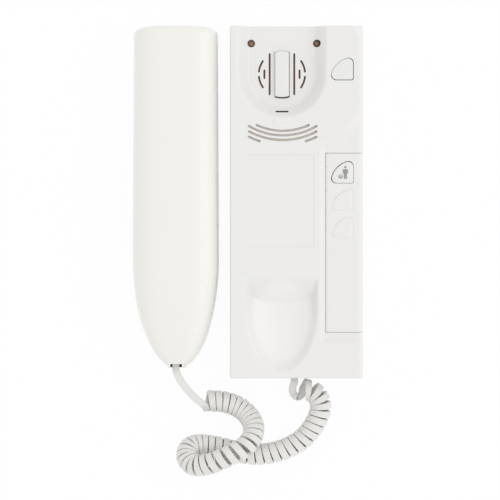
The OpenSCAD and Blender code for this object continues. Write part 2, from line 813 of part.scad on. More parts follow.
// Cubic through the route at turn u, whose slope at each point comes from its two neighbours
function slope_at(k) = let (a = max(k - 1, 0), b = min(k + 1, len(curl_route) - 1))
    (xyz(curl_route[b]) - xyz(curl_route[a])) / (curl_route[b][3] - curl_route[a][3]);
function xyz(p) = [p[0], p[1], p[2]];
function span_of(u, k = 0) = k >= len(curl_route) - 2 || u < curl_route[k + 1][3] ? k : span_of(u, k + 1);
function centre_at(u) = let (k = span_of(u), p = curl_route[k], q = curl_route[k + 1], h = q[3] - p[3],
    s = (u - p[3]) / h)
    (2 * s * s * s - 3 * s * s + 1) * xyz(p) + (s * s * s - 2 * s * s + s) * h * slope_at(k)
    + (3 * s * s - 2 * s * s * s) * xyz(q) + (s * s * s - s * s) * h * slope_at(k + 1);

turns = curl_route[len(curl_route) - 1][3];
function on_route(u) = max(0, min(u, turns));
function along_at(u) = unit(centre_at(on_route(on_route(u) + 0.01))
    - centre_at(on_route(on_route(u) - 0.01)));
function wire_at(u) = let (d = along_at(u), side = unit(cross([0, 0, 1], d)), up = cross(d, side),
    a = curl_phase + 360 * u)
    centre_at(on_route(u)) + curl_r * (cos(a) * side + sin(a) * up);

// Outlines of the flat cord in quarters of its width and thickness, with six and with eight corners
flat_six = [[2, 0], [1, 2], [-1, 2], [-2, 0], [-1, -2], [1, -2]];
flat_eight = [[2, 1], [1.2, 2], [-1.2, 2], [-2, 1], [-2, -1], [-1.2, -2], [1.2, -2], [2, -1]];

// Ring of the cord at p, where it runs along t and its width, size wide, lies along w
function flat_ring(outline, p, t, w, size = cord_w) = [for (c = outline)
    p + c[0] / 4 * size * w + c[1] / 4 * cord_t * cross(t, w)];

// Width that the cord has at turn u, where it lies along w: less where the curls next to it are close
function room_at(u, w) = max(least_w, min([cord_w, for (v = [u - 1, u + 1])
    if (v >= 0 && v <= turns) abs((wire_at(v) - wire_at(u)) * w) - curl_gap]));
function curl_ring(u, outline = flat_six) = let (t = unit(wire_at(u + 0.01) - wire_at(u - 0.01)),
    d = along_at(u), w = unit(d - (d * t) * t)) flat_ring(outline, wire_at(u), t, w, room_at(u, w));

// Rings along a lead, its width kept level
function lead_rings(line) = [for (i = [0 : len(line) - 1])
    let (t = unit(line[min(i + 1, len(line) - 1)] - line[max(i - 1, 0)]))
        flat_ring(flat_eight, line[i], t, unit(cross([0, 0, 1], t)))];

// Least distance between the corners of rings that are more than half a curl apart
function least_gap(rings, reach = 9) = min([for (i = [0 : len(rings) - 1], j = [i + 5 : 1 : len(rings) - 1])
    if (norm(rings[i][0] - rings[j][0]) < reach) min([for (a = rings[i], b = rings[j]) norm(a - b)])]);
function round_rings(line, r, sides) = [for (i = [0 : len(line) - 1])
    let (t = unit(line[min(i + 1, len(line) - 1)] - line[max(i - 1, 0)]),
        a = unit(cross(t, abs(t[2]) > 0.9 ? [1, 0, 0] : [0, 0, 1])), b = cross(t, a))
        [for (k = [0 : sides - 1]) line[i] + r * (cos(360 * k / sides) * a + sin(360 * k / sides) * b)]];

module curly_cord() {
    rings = [for (i = [0 : turns * curl_rings]) curl_ring(i / curl_rings)];
    echo(least_gap_of_curls = least_gap(rings));
    color("whitesmoke") skin_over(rings);
}

module cord_lead_handset() {
    color("whitesmoke") skin_over(concat(lead_rings(lead_handset), [curl_ring(0, flat_eight)]));
}

module cord_lead_base() {
    color("whitesmoke") skin_over(concat([curl_ring(turns, flat_eight)], lead_rings(lead_base)));
}

front_cover();
rear_plate();
panel_strip();
door_button();
panel_button();
hook_lever();
lever_bracket();
lever_pin();
lever_spring();
hook_switch();
circuit_board();
button_switches();
capacitors();
buzzer();
volume_trimmer();
terminal_block();
terminal_screws();
cradle_catch();
cover_screws();
board_screws();
base_jack();
back_shell();
front_shell();
receiver_capsule();
microphone_capsule();
receiver_ring();
ballast_weight();
shell_screws();
handset_jack();
plug_handset();
cord_lead_handset();
curly_cord();
cord_lead_base();
plug_base();
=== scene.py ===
import json
import math

import bpy
import numpy as np
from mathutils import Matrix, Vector

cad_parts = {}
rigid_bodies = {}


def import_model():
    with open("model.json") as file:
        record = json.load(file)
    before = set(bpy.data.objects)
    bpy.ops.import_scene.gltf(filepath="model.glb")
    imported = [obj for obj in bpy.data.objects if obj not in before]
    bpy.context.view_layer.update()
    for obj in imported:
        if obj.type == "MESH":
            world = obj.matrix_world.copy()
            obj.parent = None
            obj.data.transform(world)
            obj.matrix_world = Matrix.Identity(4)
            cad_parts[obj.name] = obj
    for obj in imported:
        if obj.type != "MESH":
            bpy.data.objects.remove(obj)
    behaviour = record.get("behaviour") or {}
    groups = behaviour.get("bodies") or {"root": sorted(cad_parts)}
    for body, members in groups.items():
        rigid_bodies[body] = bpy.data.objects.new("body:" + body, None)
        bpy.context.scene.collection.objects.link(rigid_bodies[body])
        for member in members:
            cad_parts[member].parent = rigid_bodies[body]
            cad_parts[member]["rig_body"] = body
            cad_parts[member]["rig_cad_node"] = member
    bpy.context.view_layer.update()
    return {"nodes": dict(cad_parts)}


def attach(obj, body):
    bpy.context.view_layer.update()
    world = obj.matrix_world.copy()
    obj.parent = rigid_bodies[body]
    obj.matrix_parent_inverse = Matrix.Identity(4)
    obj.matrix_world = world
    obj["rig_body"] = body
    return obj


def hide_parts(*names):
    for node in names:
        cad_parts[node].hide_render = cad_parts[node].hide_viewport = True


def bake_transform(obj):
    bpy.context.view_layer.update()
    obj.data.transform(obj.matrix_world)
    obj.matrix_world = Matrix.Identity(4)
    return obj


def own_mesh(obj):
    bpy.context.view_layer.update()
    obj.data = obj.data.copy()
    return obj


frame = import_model()

# ---------------- camera
# The phone lies on its back and is seen from straight above, from 2.5 m up with a long lens, so that its
# sides hardly show. The field is 313 mm wide at the height of the mouldings.
view_height = 2.5
view_width = 0.31275
view_plane = 0.02
bpy.ops.object.camera_add(location=(-0.029, -0.030, view_height + view_plane), rotation=(0, 0, 0))
camera = bpy.context.object
camera.data.lens = camera.data.sensor_width * view_height / view_width
camera.data.clip_end = 50
bpy.context.scene.camera = camera
bpy.context.scene.view_settings.view_transform = "Standard"


# ---------------- curly cord
# One flat four-core cord, sheathed in soft off-white PVC and wound hot on a mandrel. It runs straight out of
# the handset, in 50 curls round a loose S with a tight loop, and straight into the socket of the base.
# Sizes here and below are in millimetres, and MM makes metres of them.
MM = 0.001
cord_width, least_width, cord_thickness = 4.6, 0.9, 2.4
curl_radius, curl_gap = 5.5, 0.12
curl_phase = math.radians(135)
# Middle of the winding, and how many curls it has made there
curl_route = [
    (-56.5, -124.8, 6.9, 0), (-46, -125.4, 6.9, 2.4), (-37, -128.4, 7, 4.8), (-30.6, -133.4, 8.6, 7.2),
    (-26.8, -140.4, 12.4, 9.9), (-28, -147.8, 17.2, 12.4), (-33.4, -153.8, 20.9, 14.3),
    (-41.4, -158.4, 21.6, 15.9), (-50, -162.2, 20.6, 17.5), (-58, -164.6, 18.6, 19.2),
    (-64.8, -164.4, 16.2, 21.1), (-68.6, -159.4, 12.6, 23.6), (-66.6, -154, 9.4, 25.9),
    (-60.4, -152.4, 7.4, 28), (-50.8, -153.6, 6.9, 30.4), (-40, -156.2, 6.9, 32.6), (-28, -158.4, 6.9, 35),
    (-16, -157.6, 6.9, 37.4), (-5, -154.2, 6.9, 39.7), (4.4, -148.4, 6.9, 41.9), (11, -140.4, 6.9, 44.1),
    (15, -131.6, 6.9, 46.2), (14.8, -124.8, 6.9, 47.8), (10.8, -119.4, 6.9, 49.3), (4.4, -117.2, 6.9, 50.375)]
# The straight leads: from the handset's plug to the first curl, and from the last curl to the base's socket
lead_handset = [
    (-75.4, -101.2, 16), (-75.4, -105, 16), (-74.2, -108.5, 15.8), (-71.8, -112.8, 15.3),
    (-68.6, -117.2, 14.6), (-65, -121.2, 13.9), (-61.2, -124.6, 13.3), (-58.2, -127, 12.6)]
lead_base = [
    (3.4, -121.2, 1.5), (0.6, -122.6, 2.1), (-1.8, -120.4, 3.8), (-2.2, -116.8, 6.2),
    (-1.2, -113.4, 8), (-1.2, -109.8, 8)]
curl_turns = curl_route[-1][3]
rings_per_curl = 24
steps_per_point = 6


def between(a, b, slope_a, slope_b, s):
    """Point a share s of the way from a to b, on a curve that has these slopes at its ends."""
    return ((2 * s**3 - 3 * s**2 + 1) * a + (s**3 - 2 * s**2 + s) * slope_a
            + (3 * s**2 - 2 * s**3) * b + (s**3 - s**2) * slope_b)


def route_slope(k):
    """Slope of the route at its point k, per curl, from the points before and after it."""
    a, b = curl_route[max(k - 1, 0)], curl_route[min(k + 1, len(curl_route) - 1)]
    return (Vector(b[:3]) - Vector(a[:3])) / (b[3] - a[3])


def route_at(u):
    """Middle of the winding at curl number u."""
    u = min(max(u, 0), curl_turns)
    k = max(i for i in range(len(curl_route) - 1) if u >= curl_route[i][3])
    p, q = curl_route[k], curl_route[k + 1]
    h = q[3] - p[3]
    return between(Vector(p[:3]), Vector(q[:3]), h * route_slope(k), h * route_slope(k + 1), (u - p[3]) / h)


def route_direction(u):
    """Direction of the winding at curl number u."""
    u = min(max(u, 0), curl_turns)
    return (route_at(u + 0.01) - route_at(u - 0.01)).normalized()


def wire_at(u):
    """Middle of the flat cord at curl number u."""
    d = route_direction(u)
    side = Vector((0, 0, 1)).cross(d).normalized()
    a = curl_phase + 2 * math.pi * u
    return route_at(u) + curl_radius * (math.cos(a) * side + math.sin(a) * d.cross(side))


# Points that the cord follows, with the direction of its width at each and how wide it is there: the curls
# squeeze each other where they bunch up inside a bend.
curl_points = [wire_at(i / rings_per_curl) for i in range(int(curl_turns * rings_per_curl) + 1)]
curl_widths = [route_direction(i / rings_per_curl) for i in range(len(curl_points))]
curl_room = []
for i, (p, d) in enumerate(zip(curl_points, curl_widths)):
    t = (curl_points[min(i + 1, len(curl_points) - 1)] - curl_points[max(i - 1, 0)]).normalized()
    w = (d - d.dot(t) * t).normalized()
    beside = [curl_points[j] for j in (i - rings_per_curl, i + rings_per_curl)
              if 0 <= j < len(curl_points)]
    room = min(abs((q - p).dot(w)) for q in beside) - curl_gap
    curl_room.append(max(least_width, min(cord_width, room)))
# A lead lies flat at its plug, and turns over its second half to the width of the curl that it meets.
leads = []
for points, meets, curl_width in ((lead_handset, curl_points[:2], curl_widths[0]),
                                  (lead_base[::-1], curl_points[:-3:-1], curl_widths[-1])):
    line = [Vector(p) for p in points] + meets
    dense, widths = [], []
    for k in range(len(line) - 2):
        slope_k, slope_next = (line[k + 1] - line[max(k - 1, 0)]) / 2, (line[k + 2] - line[k]) / 2
        t = (line[k + 1] - line[k]).normalized()
        level = Vector((0, 0, 1)).cross(t).normalized()
        if level.dot(curl_width) < 0:
            level = -level
        for step in range(steps_per_point):
            share = step / steps_per_point
            dense.append(between(line[k], line[k + 1], slope_k, slope_next, share))
            turn = max(0, (k + share) / (len(line) - 2) - 0.5) * 2
            widths.append(((1 - turn) * level + turn * curl_width).normalized())
    leads.append((dense, widths))
cord_line = leads[0][0] + curl_points + leads[1][0][::-1]
cord_widths = leads[0][1] + curl_widths + leads[1][1][::-1]
cord_room = [cord_width] * len(leads[0][0]) + curl_room + [cord_width] * len(leads[1][0])
# The width is evened out over this many rings
even_rings = 9
cord_room = np.convolve(np.pad(cord_room, even_rings // 2, "edge"), np.ones(even_rings) / even_rings, "valid")

# Section of the cord: four cores side by side, so four shallow ribs run along each flat face.
rib_pitch, rib_depth = cord_width / 4, 0.09
cord_edge_r = 0.55
flat_half = cord_width / 2 - cord_edge_r
flat_steps, edge_steps = 18, 6
section = []
for k in range(flat_steps + 1):
    x = flat_half * (2 * k / flat_steps - 1)
    furrow = 0.5 + 0.5 * math.cos(2 * math.pi * x / rib_pitch)
    section.append((x, cord_thickness / 2 - rib_depth * furrow))
for k in range(1, edge_steps):
    a = math.pi / 2 - math.pi * k / edge_steps
    section.append((flat_half + cord_edge_r * math.cos(a), cord_thickness / 2 * math.sin(a)))
section += [(-x, -z) for x, z in section]
n_section = len(section)

cord_co, cord_faces = [], []
for i, (p, w, room) in enumerate(zip(cord_line, cord_widths, cord_room)):
    t = (cord_line[min(i + 1, len(cord_line) - 1)] - cord_line[max(i - 1, 0)]).normalized()
    w = (w - w.dot(t) * t).normalized()
    up = t.cross(w)
    squeeze = float(room) / cord_width
    cord_co += [(p + squeeze * x * w + z * up) * MM for x, z in section]
for i in range(len(cord_line) - 1):
    for k in range(n_section):
        a, b = i * n_section + k, i * n_section + (k + 1) % n_section
        cord_faces.append((a, b, b + n_section, a + n_section))
last_ring = (len(cord_line) - 1) * n_section
cord_faces += [tuple(range(n_section))[::-1], tuple(last_ring + k for k in range(n_section))]
cord_mesh = bpy.data.meshes.new("handset_cord")
cord_mesh.from_pydata(cord_co, [], cord_faces)
handset_cord = bpy.data.objects.new("handset_cord", cord_mesh)
bpy.context.scene.collection.objects.link(handset_cord)


def only(piece):
    """Selects this piece alone and makes it the active one."""
    bpy.ops.object.select_all(action="DESELECT")
    bpy.context.view_layer.objects.active = piece
    piece.select_set(True)


only(handset_cord)
bpy.ops.object.mode_set(mode="EDIT")
bpy.ops.mesh.select_all(action="SELECT")
bpy.ops.mesh.normals_make_consistent(inside=False)
bpy.ops.object.mode_set(mode="OBJECT")
bpy.ops.object.shade_smooth_by_angle(angle=math.radians(50))

# Across the cord in u and along it in v, in millimetres.
cord_run = [0.0]
for p, q in zip(cord_line, cord_line[1:]):
    cord_run.append(cord_run[-1] + (q - p).length)
cord_uv = cord_mesh.uv_layers.new(name="along_cord")
for loop, uv in zip(cord_mesh.loops, cord_uv.data):
    ring, k = divmod(loop.vertex_index, n_section)
    uv.uv = (section[k][0], cord_run[ring])


class Tint:
    """A socket in a material. Sums, differences and products of sockets add the maths nodes for them."""

    def __init__(self, socket):
        self.socket = socket

    def node(self, kind, settings, inputs, output=0):
        """Adds a node with these settings, then these values or links of its sockets."""
        tree = self.socket.id_data
        made = tree.nodes.new(kind)
        for name, setting in settings.items():
            setattr(made, name, setting)
        for name, value in inputs.items():
            if isinstance(value, Tint):
                tree.links.new(value.socket, made.inputs[name])
            else:
                made.inputs[name].default_value = value
        return Tint(made.outputs[output])

    def maths(self, operation, a, b):
        """One maths node on two values or sockets."""
        return self.node("ShaderNodeMath", {"operation": operation}, {0: a, 1: b})

    def __add__(self, other):
        return self.maths("ADD", self, other)

    def __sub__(self, other):
        return self.maths("SUBTRACT", self, other)

    def __rsub__(self, other):
        return self.maths("SUBTRACT", other, self)

    def __mul__(self, other):
        return self.maths("MULTIPLY", self, other)

    __radd__, __rmul__ = __add__, __mul__

    def above(self, level):
        """1 where this is above the level and 0 elsewhere."""
        return self.maths("GREATER_THAN", self, level)

    def part(self, axis):
        """One coordinate of this place: 0 is x, 1 is y and 2 is z."""
        return self.node("ShaderNodeSeparateXYZ", {}, {0: self}, axis)

    def noise(self, scale, detail=2.0):
        """Noise at this place, scale times a metre fine, from 0 to 1."""
        return self.node("ShaderNodeTexNoise", {}, {"Vector": self, "Scale": scale, "Detail": detail})

    def colour(self, first, second):
        """The first colour where this is 0 and the second where it is 1."""
        first, second = [c if isinstance(c, Tint) else (*c, 1) for c in (first, second)]
        return self.node("ShaderNodeMix", {"data_type": "RGBA"}, {0: self, 6: first, 7: second}, 2)

    def feed(self, name):
        """Links this to the material's shader."""
        tree = self.socket.id_data
        tree.links.new(self.socket, tree.nodes["Principled BSDF"].inputs[name])

    def raise_skin(self, strength, distance):
        """Raises the surface where this is high, by distance in metres at full strength."""
        bump = {"Strength": strength, "Distance": distance, "Height": self}
        self.node("ShaderNodeBump", {}, bump).feed("Normal")


def new_finish(name, **constants):
    """A new material with these constants on its shader, and the place on the piece in metres."""
    material = bpy.data.materials.new(name)
    material.use_nodes = True
    nodes = material.node_tree.nodes
    for socket, value in constants.items():
        nodes["Principled BSDF"].inputs[socket.replace("_", " ")].default_value = value
    return material, Tint(nodes.new("ShaderNodeTexCoord").outputs["Object"])


# Soft PVC: creamy, with painted shade that makes it a little darker in the furrows between its cores, and a
# dull sheen.
cord_finish, place = new_finish("cord_sheath", Specular_IOR_Level=0.4)
across = place.node("ShaderNodeUVMap", {"uv_map": "along_cord"}, {}).part(0)
furrow = across.maths("COSINE", across * (2 * math.pi / rib_pitch), 0)
cloud = place.noise(60.0, 3.0)
# Painted shade: darker colour along the furrows, mixed with a random cloud in the PVC's tone.
furrow_shade_and_cloud = 0.35 * furrow + 0.65 * cloud
furrow_shade_and_cloud.colour((0.81, 0.802, 0.775), (0.71, 0.702, 0.68)).feed("Base Color")
(0.42 + 0.14 * cloud).feed("Roughness")
place.noise(1900.0).raise_skin(0.25, 0.00004)
cord_mesh.materials.append(cord_finish)

cord_path = [tuple(p * MM) for p in cord_line]
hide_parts("curly_cord", "cord_lead_handset", "cord_lead_base")
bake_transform(handset_cord)


# ---------------- front cover
# The moulding that makes the front and the sides of the base: one glossy white ABS shell, 2.2 mm thick, with
# the cradle for the earpiece, a bowl for the mouthpiece and a lower column for the buttons moulded in. Two
# screws hold it to the rear plate.
def shape_grid(name, n_across, n_along, corner):
    """A grid whose corners are put by corner(i, j), arrays of the number of each corner across and along."""
    bpy.ops.object.select_all(action="DESELECT")
    bpy.ops.mesh.primitive_grid_add(x_subdivisions=n_across - 1, y_subdivisions=n_along - 1, size=2)
    piece = bpy.context.object
    piece.name = piece.data.name = name
    co = np.empty(len(piece.data.vertices) * 3)
    piece.data.vertices.foreach_get("co", co)
    co = co.reshape(-1, 3)
    i = np.rint((co[:, 0] + 1) / 2 * (n_across - 1)).astype(int)
    j = np.rint((co[:, 1] + 1) / 2 * (n_along - 1)).astype(int)
    piece.data.vertices.foreach_set("co", (np.stack(corner(i, j), 1) * MM).ravel())
    return piece


def walled(name, n_across, n_along, outside, inside):
    """A wall between two shaped grids, joined round their borders."""
    inner = shape_grid(name + "_inner", n_across, n_along, inside)
    bpy.ops.object.mode_set(mode="EDIT")
    bpy.ops.mesh.select_all(action="SELECT")
    bpy.ops.mesh.flip_normals()
    bpy.ops.object.mode_set(mode="OBJECT")
    piece = shape_grid(name, n_across, n_along, outside)
    inner.select_set(True)
    bpy.ops.object.join()
    bpy.ops.object.mode_set(mode="EDIT")
    bpy.ops.mesh.select_mode(type="EDGE")
    bpy.ops.mesh.select_all(action="DESELECT")
    bpy.ops.mesh.select_non_manifold(extend=False)
    bpy.ops.mesh.bridge_edge_loops()
    bpy.ops.mesh.select_all(action="SELECT")
    bpy.ops.mesh.normals_make_consistent(inside=False)
    bpy.ops.object.mode_set(mode="OBJECT")
    return piece


def slab(name, points, low, high):
    """A flat piece with this outline, from height low to height high."""
    bpy.ops.object.select_all(action="DESELECT")
    bpy.ops.mesh.primitive_circle_add(vertices=len(points), radius=1, fill_type="NGON")
    piece = bpy.context.object
    piece.name = piece.data.name = name
    for vertex, (x, y) in zip(piece.data.vertices, points):
        vertex.co = Vector((x, y, low)) * MM
    bpy.ops.object.mode_set(mode="EDIT")
    bpy.ops.mesh.select_all(action="SELECT")
    bpy.ops.mesh.extrude_region_move(TRANSFORM_OT_translate={"value": (0, 0, (high - low) * MM)})
    bpy.ops.mesh.select_all(action="SELECT")
    bpy.ops.mesh.normals_make_consistent(inside=False)
    bpy.ops.object.mode_set(mode="OBJECT")
    return piece


def cut(piece, cutters, operation="DIFFERENCE"):
    """Takes the cutters out of the piece, or adds them to it, and deletes them."""
    for cutter in cutters:
        only(piece)
        modifier = piece.modifiers.new("cut", "BOOLEAN")
        modifier.operation, modifier.solver, modifier.object = operation, "MANIFOLD", cutter
        bpy.ops.object.modifier_apply(modifier=modifier.name)
        bpy.data.objects.remove(cutter)


def joined(pieces):
    """Several pieces made one."""
    only(pieces[0])
    for piece in pieces:
        piece.select_set(True)
    bpy.ops.object.join()
    return pieces[0]


def smoothed(piece, degrees=32):
    """Shades a piece smooth, but for edges sharper than this."""
    only(piece)
    bpy.ops.object.shade_smooth_by_angle(angle=math.radians(degrees))


def rounded_edges(piece, width, segments=3, degrees=50, lowest=-1.0):
    """Rounds the edges of a piece that are sharper than this and higher than lowest."""
    only(piece)
    bpy.ops.object.mode_set(mode="EDIT")
    bpy.ops.mesh.select_mode(type="EDGE")
    bpy.ops.mesh.select_all(action="DESELECT")
    bpy.ops.mesh.edges_select_sharp(sharpness=math.radians(degrees))
    bpy.ops.object.mode_set(mode="OBJECT")
    for edge in piece.data.edges:
        heights = [piece.data.vertices[v].co.z for v in edge.vertices]
        edge.select = edge.select and min(heights) > lowest * MM
    bpy.ops.object.mode_set(mode="EDIT")
    bpy.ops.mesh.bevel(offset=width * MM, segments=segments, affect="EDGES")
    bpy.ops.object.mode_set(mode="OBJECT")


def soft_low(a, b, k):
    """The lower of two heights, rounded over where they cross."""
    h = np.clip(0.5 + 0.5 * (b - a) / k, 0, 1)
    return b * (1 - h) + a * h - k * h * (1 - h)


def soft_high(a, b, k):
    """The higher of two heights, rounded over where they cross."""
    return -soft_low(-a, -b, k)


def lines(low, high, step, extra):
    """Grid lines a step apart, without those that are close to one of the extra lines."""
    extra = sorted(set(e for e in extra if low <= e <= high))
    plain = [v for v in np.arange(low, high, step) if min(abs(v - e) for e in extra) > 0.35 * step]
    return np.array(sorted(plain + extra))


# The base: half its width and length, the heights of its face, its column, its cradle and its recess, its
# wall, and the radii of its corners and edges
half_w, half_l = 41.5, 110
face_z, column_z, dish_z, recess_z = 28, 25.5, 19, 18.4
wall, cover_foot_z = 2.2, 0.5
corner_r, edge_r, right_edge_r = 1, 1.2, 2.4
# The cradle: its middle, half the width of its floor, and how steep its wall is
axis_x, dish_y = -9, 80
dish_half, dish_steep = 21, 9 / 6.5
# The column: its left side, its lower end and the arc over it, each with the run of a step 1 mm high
column_x, column_end_y, column_run = 18.4, -85, 1.2
arc_r, arc_run = 57, 1.5
# The recess: half its width, where it starts to narrow and how far it goes on from there, then how much its
# floor rises to its rim and how steep its wall is
recess_half, recess_bend_y, recess_reach = 22.3, -66, 40.3
bowl_rise, bowl_steep = 4.5, 42
# Its upper end: a gentle slope and a steeper one, each with where it starts
gentle_y, gentle_pitch = -47.5, 0.5
steep_y, steep_z, steep_pitch = -55.5, 24, 0.7
# The label field and the tongue over the catch: left, right, lower and upper border, then depth or rise
label_box, label_depth = (-29.4, 11, -27.8, 29.3), 0.4
tongue_box, tongue_rise = (-14.5, -4.7, 48.9, 55.6), 0.25


def in_box(x, y, box, soft):
    """1 inside the box, 0 outside it, with a ramp of width soft on its border."""
    inside = np.minimum(np.minimum(x - box[0], box[1] - x), np.minimum(y - box[2], box[3] - y))
    ramp = np.clip(inside / soft + 0.5, 0, 1)
    return ramp * ramp * (3 - 2 * ramp)


def recess_share(dx, y):
    """How far a place is from the middle of the recess towards its rim, which is at 1."""
    return np.hypot(dx / recess_half, np.minimum(y - recess_bend_y, 0) / recess_reach)


def recess_slope(y, gentle_z, start_z):
    """Height of the upper end of the recess, whose two slopes start at these heights."""
    return soft_low(gentle_z + (y - gentle_y) * gentle_pitch, start_z + (y - steep_y) * steep_pitch, 0.8)


def front_height(x, y):
    """Height of the front of the base before its border is rounded."""
    dx, dy = x - axis_x, y - dish_y
    round_dish = np.hypot(dx, dy)
    column = soft_high(column_z + (column_x - x) / column_run,
                       column_z + (arc_r - round_dish) / arc_run, 0.5)
    column = soft_high(column, column_z + (column_end_y - y) / column_run, 0.5)
    height = soft_low(face_z, soft_high(column_z, column, 0.5), 0.5)
    across_dish = np.where(dy > 0, np.abs(dx), round_dish)
    height = soft_low(height, soft_high(dish_z, dish_z + (across_dish - dish_half) * dish_steep, 1.0), 0.8)
    share = recess_share(dx, y)
    bowl = soft_high(recess_z + bowl_rise * share**2, face_z + (share - 1) * bowl_steep, 1.2)
    height = soft_low(height, soft_high(bowl, recess_slope(y, face_z, steep_z), 0.9), 0.7)
    return (height - label_depth * in_box(x, y, label_box, 0.3)
            + tongue_rise * in_box(x, y, tongue_box, 0.6))


def round_over(depth, radius):
    """How far a rounded edge drops at this depth in from the border."""
    return radius - np.sqrt(np.maximum(radius**2 - np.clip(radius - depth, 0, radius) ** 2, 0))


# Grid lines of the cover: close together at the rounded borders and where a form begins or ends.
border = [0, 0.1, 0.3, 0.6, 1, 1.2]
right_border = [0, 0.1, 0.3, 0.6, 1, 1.5, 2, 2.4]
fine_step, coarse_step = 0.75, 3.5
cover_x = lines(-half_w, half_w, fine_step, [b - half_w for b in border] + [
    -31.5, -31.2, -30.9, -30.4, -29.55, -29.25, 10.85, 11.15, 12.9, 13.2, 13.5, -14.8, -14.2, -5, -4.4,
    15.1, 15.4, 15.8, 18, 18.4, 18.8] + [half_w - b for b in right_border])
cover_y = np.concatenate([
    lines(-half_l, -45.9, fine_step, [b - half_l for b in border] + [
        -88.3, -88, -87.6, -85.4, -85, -84.6, -57.8, -57.2, -47.7, -47.3]),
    lines(-45, 39.9, coarse_step, [-27.95, -27.65, 29.15, 29.45]),
    lines(40, half_l, fine_step, [half_l - b for b in border] + [48.6, 49.2, 55.3, 55.9])])


def border_map(x, y):
    """Moves the grid's square corners in to round ones, and gives each point's depth in from the border."""
    u, v = (np.abs(x) - (half_w - corner_r)) / corner_r, (np.abs(y) - (half_l - corner_r)) / corner_r
    in_corner = (u > 0) & (v > 0)
    r, angle = np.maximum(u, v), np.arctan2(v, u)
    new_x = np.where(in_corner, np.sign(x) * (half_w - corner_r + corner_r * r * np.cos(angle)), x)
    new_y = np.where(in_corner, np.sign(y) * (half_l - corner_r + corner_r * r * np.sin(angle)), y)
    depth = np.where(in_corner, corner_r * (1 - r), np.minimum(half_w - np.abs(x), half_l - np.abs(y)))
    return new_x, new_y, depth


# Where the inner grid starts to draw in for the side walls
draw_in_x, draw_in_y = 37.5, 107.2


def walled_in(v, end, start):
    """Squeezes what lies past start, so that a border at end comes a wall's thickness inside it."""
    past = np.maximum(np.abs(v) - start, 0)
    return np.sign(v) * (np.minimum(np.abs(v), start) + past * (end - wall - start) / (end - start))


def cover_corner(i, j, inside=False):
    """Corner of the cover's grid; its outermost lines are the foot of the side walls."""
    foot = (i == 0) | (j == 0) | (i == len(cover_x) + 1) | (j == len(cover_y) + 1)
    x = cover_x[np.clip(i - 1, 0, len(cover_x) - 1)]
    y = cover_y[np.clip(j - 1, 0, len(cover_y) - 1)]
    x, y, depth = border_map(x, y)
    height = front_height(x, y)
    # The edge is rounded less where the cradle's floor runs out to it
    radius = np.clip(edge_r - (column_z - 1 - height) * 0.6, 0.7, edge_r)
    height = height - np.maximum(round_over(depth, radius), round_over(half_w - x, right_edge_r))
    if inside:
        x, y, height = walled_in(x, half_w, draw_in_x), walled_in(y, half_l, draw_in_y), height - wall
    return x, y, np.where(foot, cover_foot_z, height)


cover = walled("cover", len(cover_x) + 2, len(cover_y) + 2, cover_corner,
               lambda i, j: cover_corner(i, j, inside=True))


def arc(cx, cy, r, a, b, steps):
    """Points round (cx, cy) from angle a to b, both of them included."""
    angles = [a + (b - a) * k / steps for k in range(steps + 1)]
    return [(cx + r * math.cos(t), cy + r * math.sin(t)) for t in angles]


def arc_slot(cx, cy, r, a, b, w):
    """Outline of a curved slot with round ends, about (cx, cy), from angle a to b in degrees."""
    a, b = math.radians(a), math.radians(b)
    steps = max(4, int((b - a) * r / 1.5))
    (ax, ay), (bx, by) = arc(cx, cy, r, a, b, 1)
    return (arc(cx, cy, r + w / 2, a, b, steps) + arc(bx, by, w / 2, b, b + math.pi, 6)[1:-1]
            + arc(cx, cy, r - w / 2, b, a, steps) + arc(ax, ay, w / 2, a + math.pi, a + 2 * math.pi, 6)[1:-1])


def line_slot(cx, cy, length, w):
    """Outline of a straight slot along Y with round ends."""
    top = arc(cx, cy + (length - w) / 2, w / 2, 0, math.pi, 6)
    return top + [(2 * cx - x, 2 * cy - y) for x, y in top]


def box_outline(x0, x1, y0, y1):
    """Outline of a rectangle."""
    return [(x1, y1), (x0, y1), (x0, y0), (x1, y0)]


def disc(cx, cy, r, corners=32):
    """Outline of a disc."""
    return arc(cx, cy, r, 0, 2 * math.pi, corners)[:-1]


def pad_outline(cx, cy, half, r):
    """Outline of a strip with straight sides and the ends of a circle of radius r."""
    edge = math.acos(half / r)
    return (arc(cx, cy, r, edge, math.pi - edge, 12)
            + arc(cx, cy, r, math.pi + edge, 2 * math.pi - edge, 12))


# The keys: their middles, their size, and the arc of the slanting side about a centre off the middle
key_x, panel_key_y = 28.6, 18.5
door_key_x, door_key_y = 28.4, 83
key_w, key_l = 13.7, 13.5
key_arc_r, key_arc_off = 13.95, 6.9


def key_outline(cx, cy, grow=0):
    """Outline of a key: a quarter of a disc about its lower right corner, its three corners rounded."""
    centre = (key_arc_off, -key_arc_off)
    tip_r, foot_r = 3.2, 1.3
    side, base, r = key_w / 2 + grow, -key_l / 2 - grow, key_arc_r + grow
    reach = r - tip_r
    right = (side - tip_r, centre[1] + math.sqrt(reach**2 - (side - tip_r - centre[0]) ** 2))
    left = (centre[0] - math.sqrt(reach**2 - (base + tip_r - centre[1]) ** 2), base + tip_r)
    start = math.atan2(right[1] - centre[1], right[0] - centre[0])
    end = math.atan2(left[1] - centre[1], left[0] - centre[0])
    points = []
    for (x, y), radius, a, b, steps in (
            (right, tip_r, 0, start, 9), (centre, r, start, end, 20), (left, tip_r, end, 1.5 * math.pi, 9),
            ((side - foot_r, base + foot_r), foot_r, -math.pi / 2, 0, 6)):
        points += arc(cx + x, cy + y, radius, a, b, steps)
    return [p for k, p in enumerate(points) if math.dist(p, points[k - 1]) > 0.02]


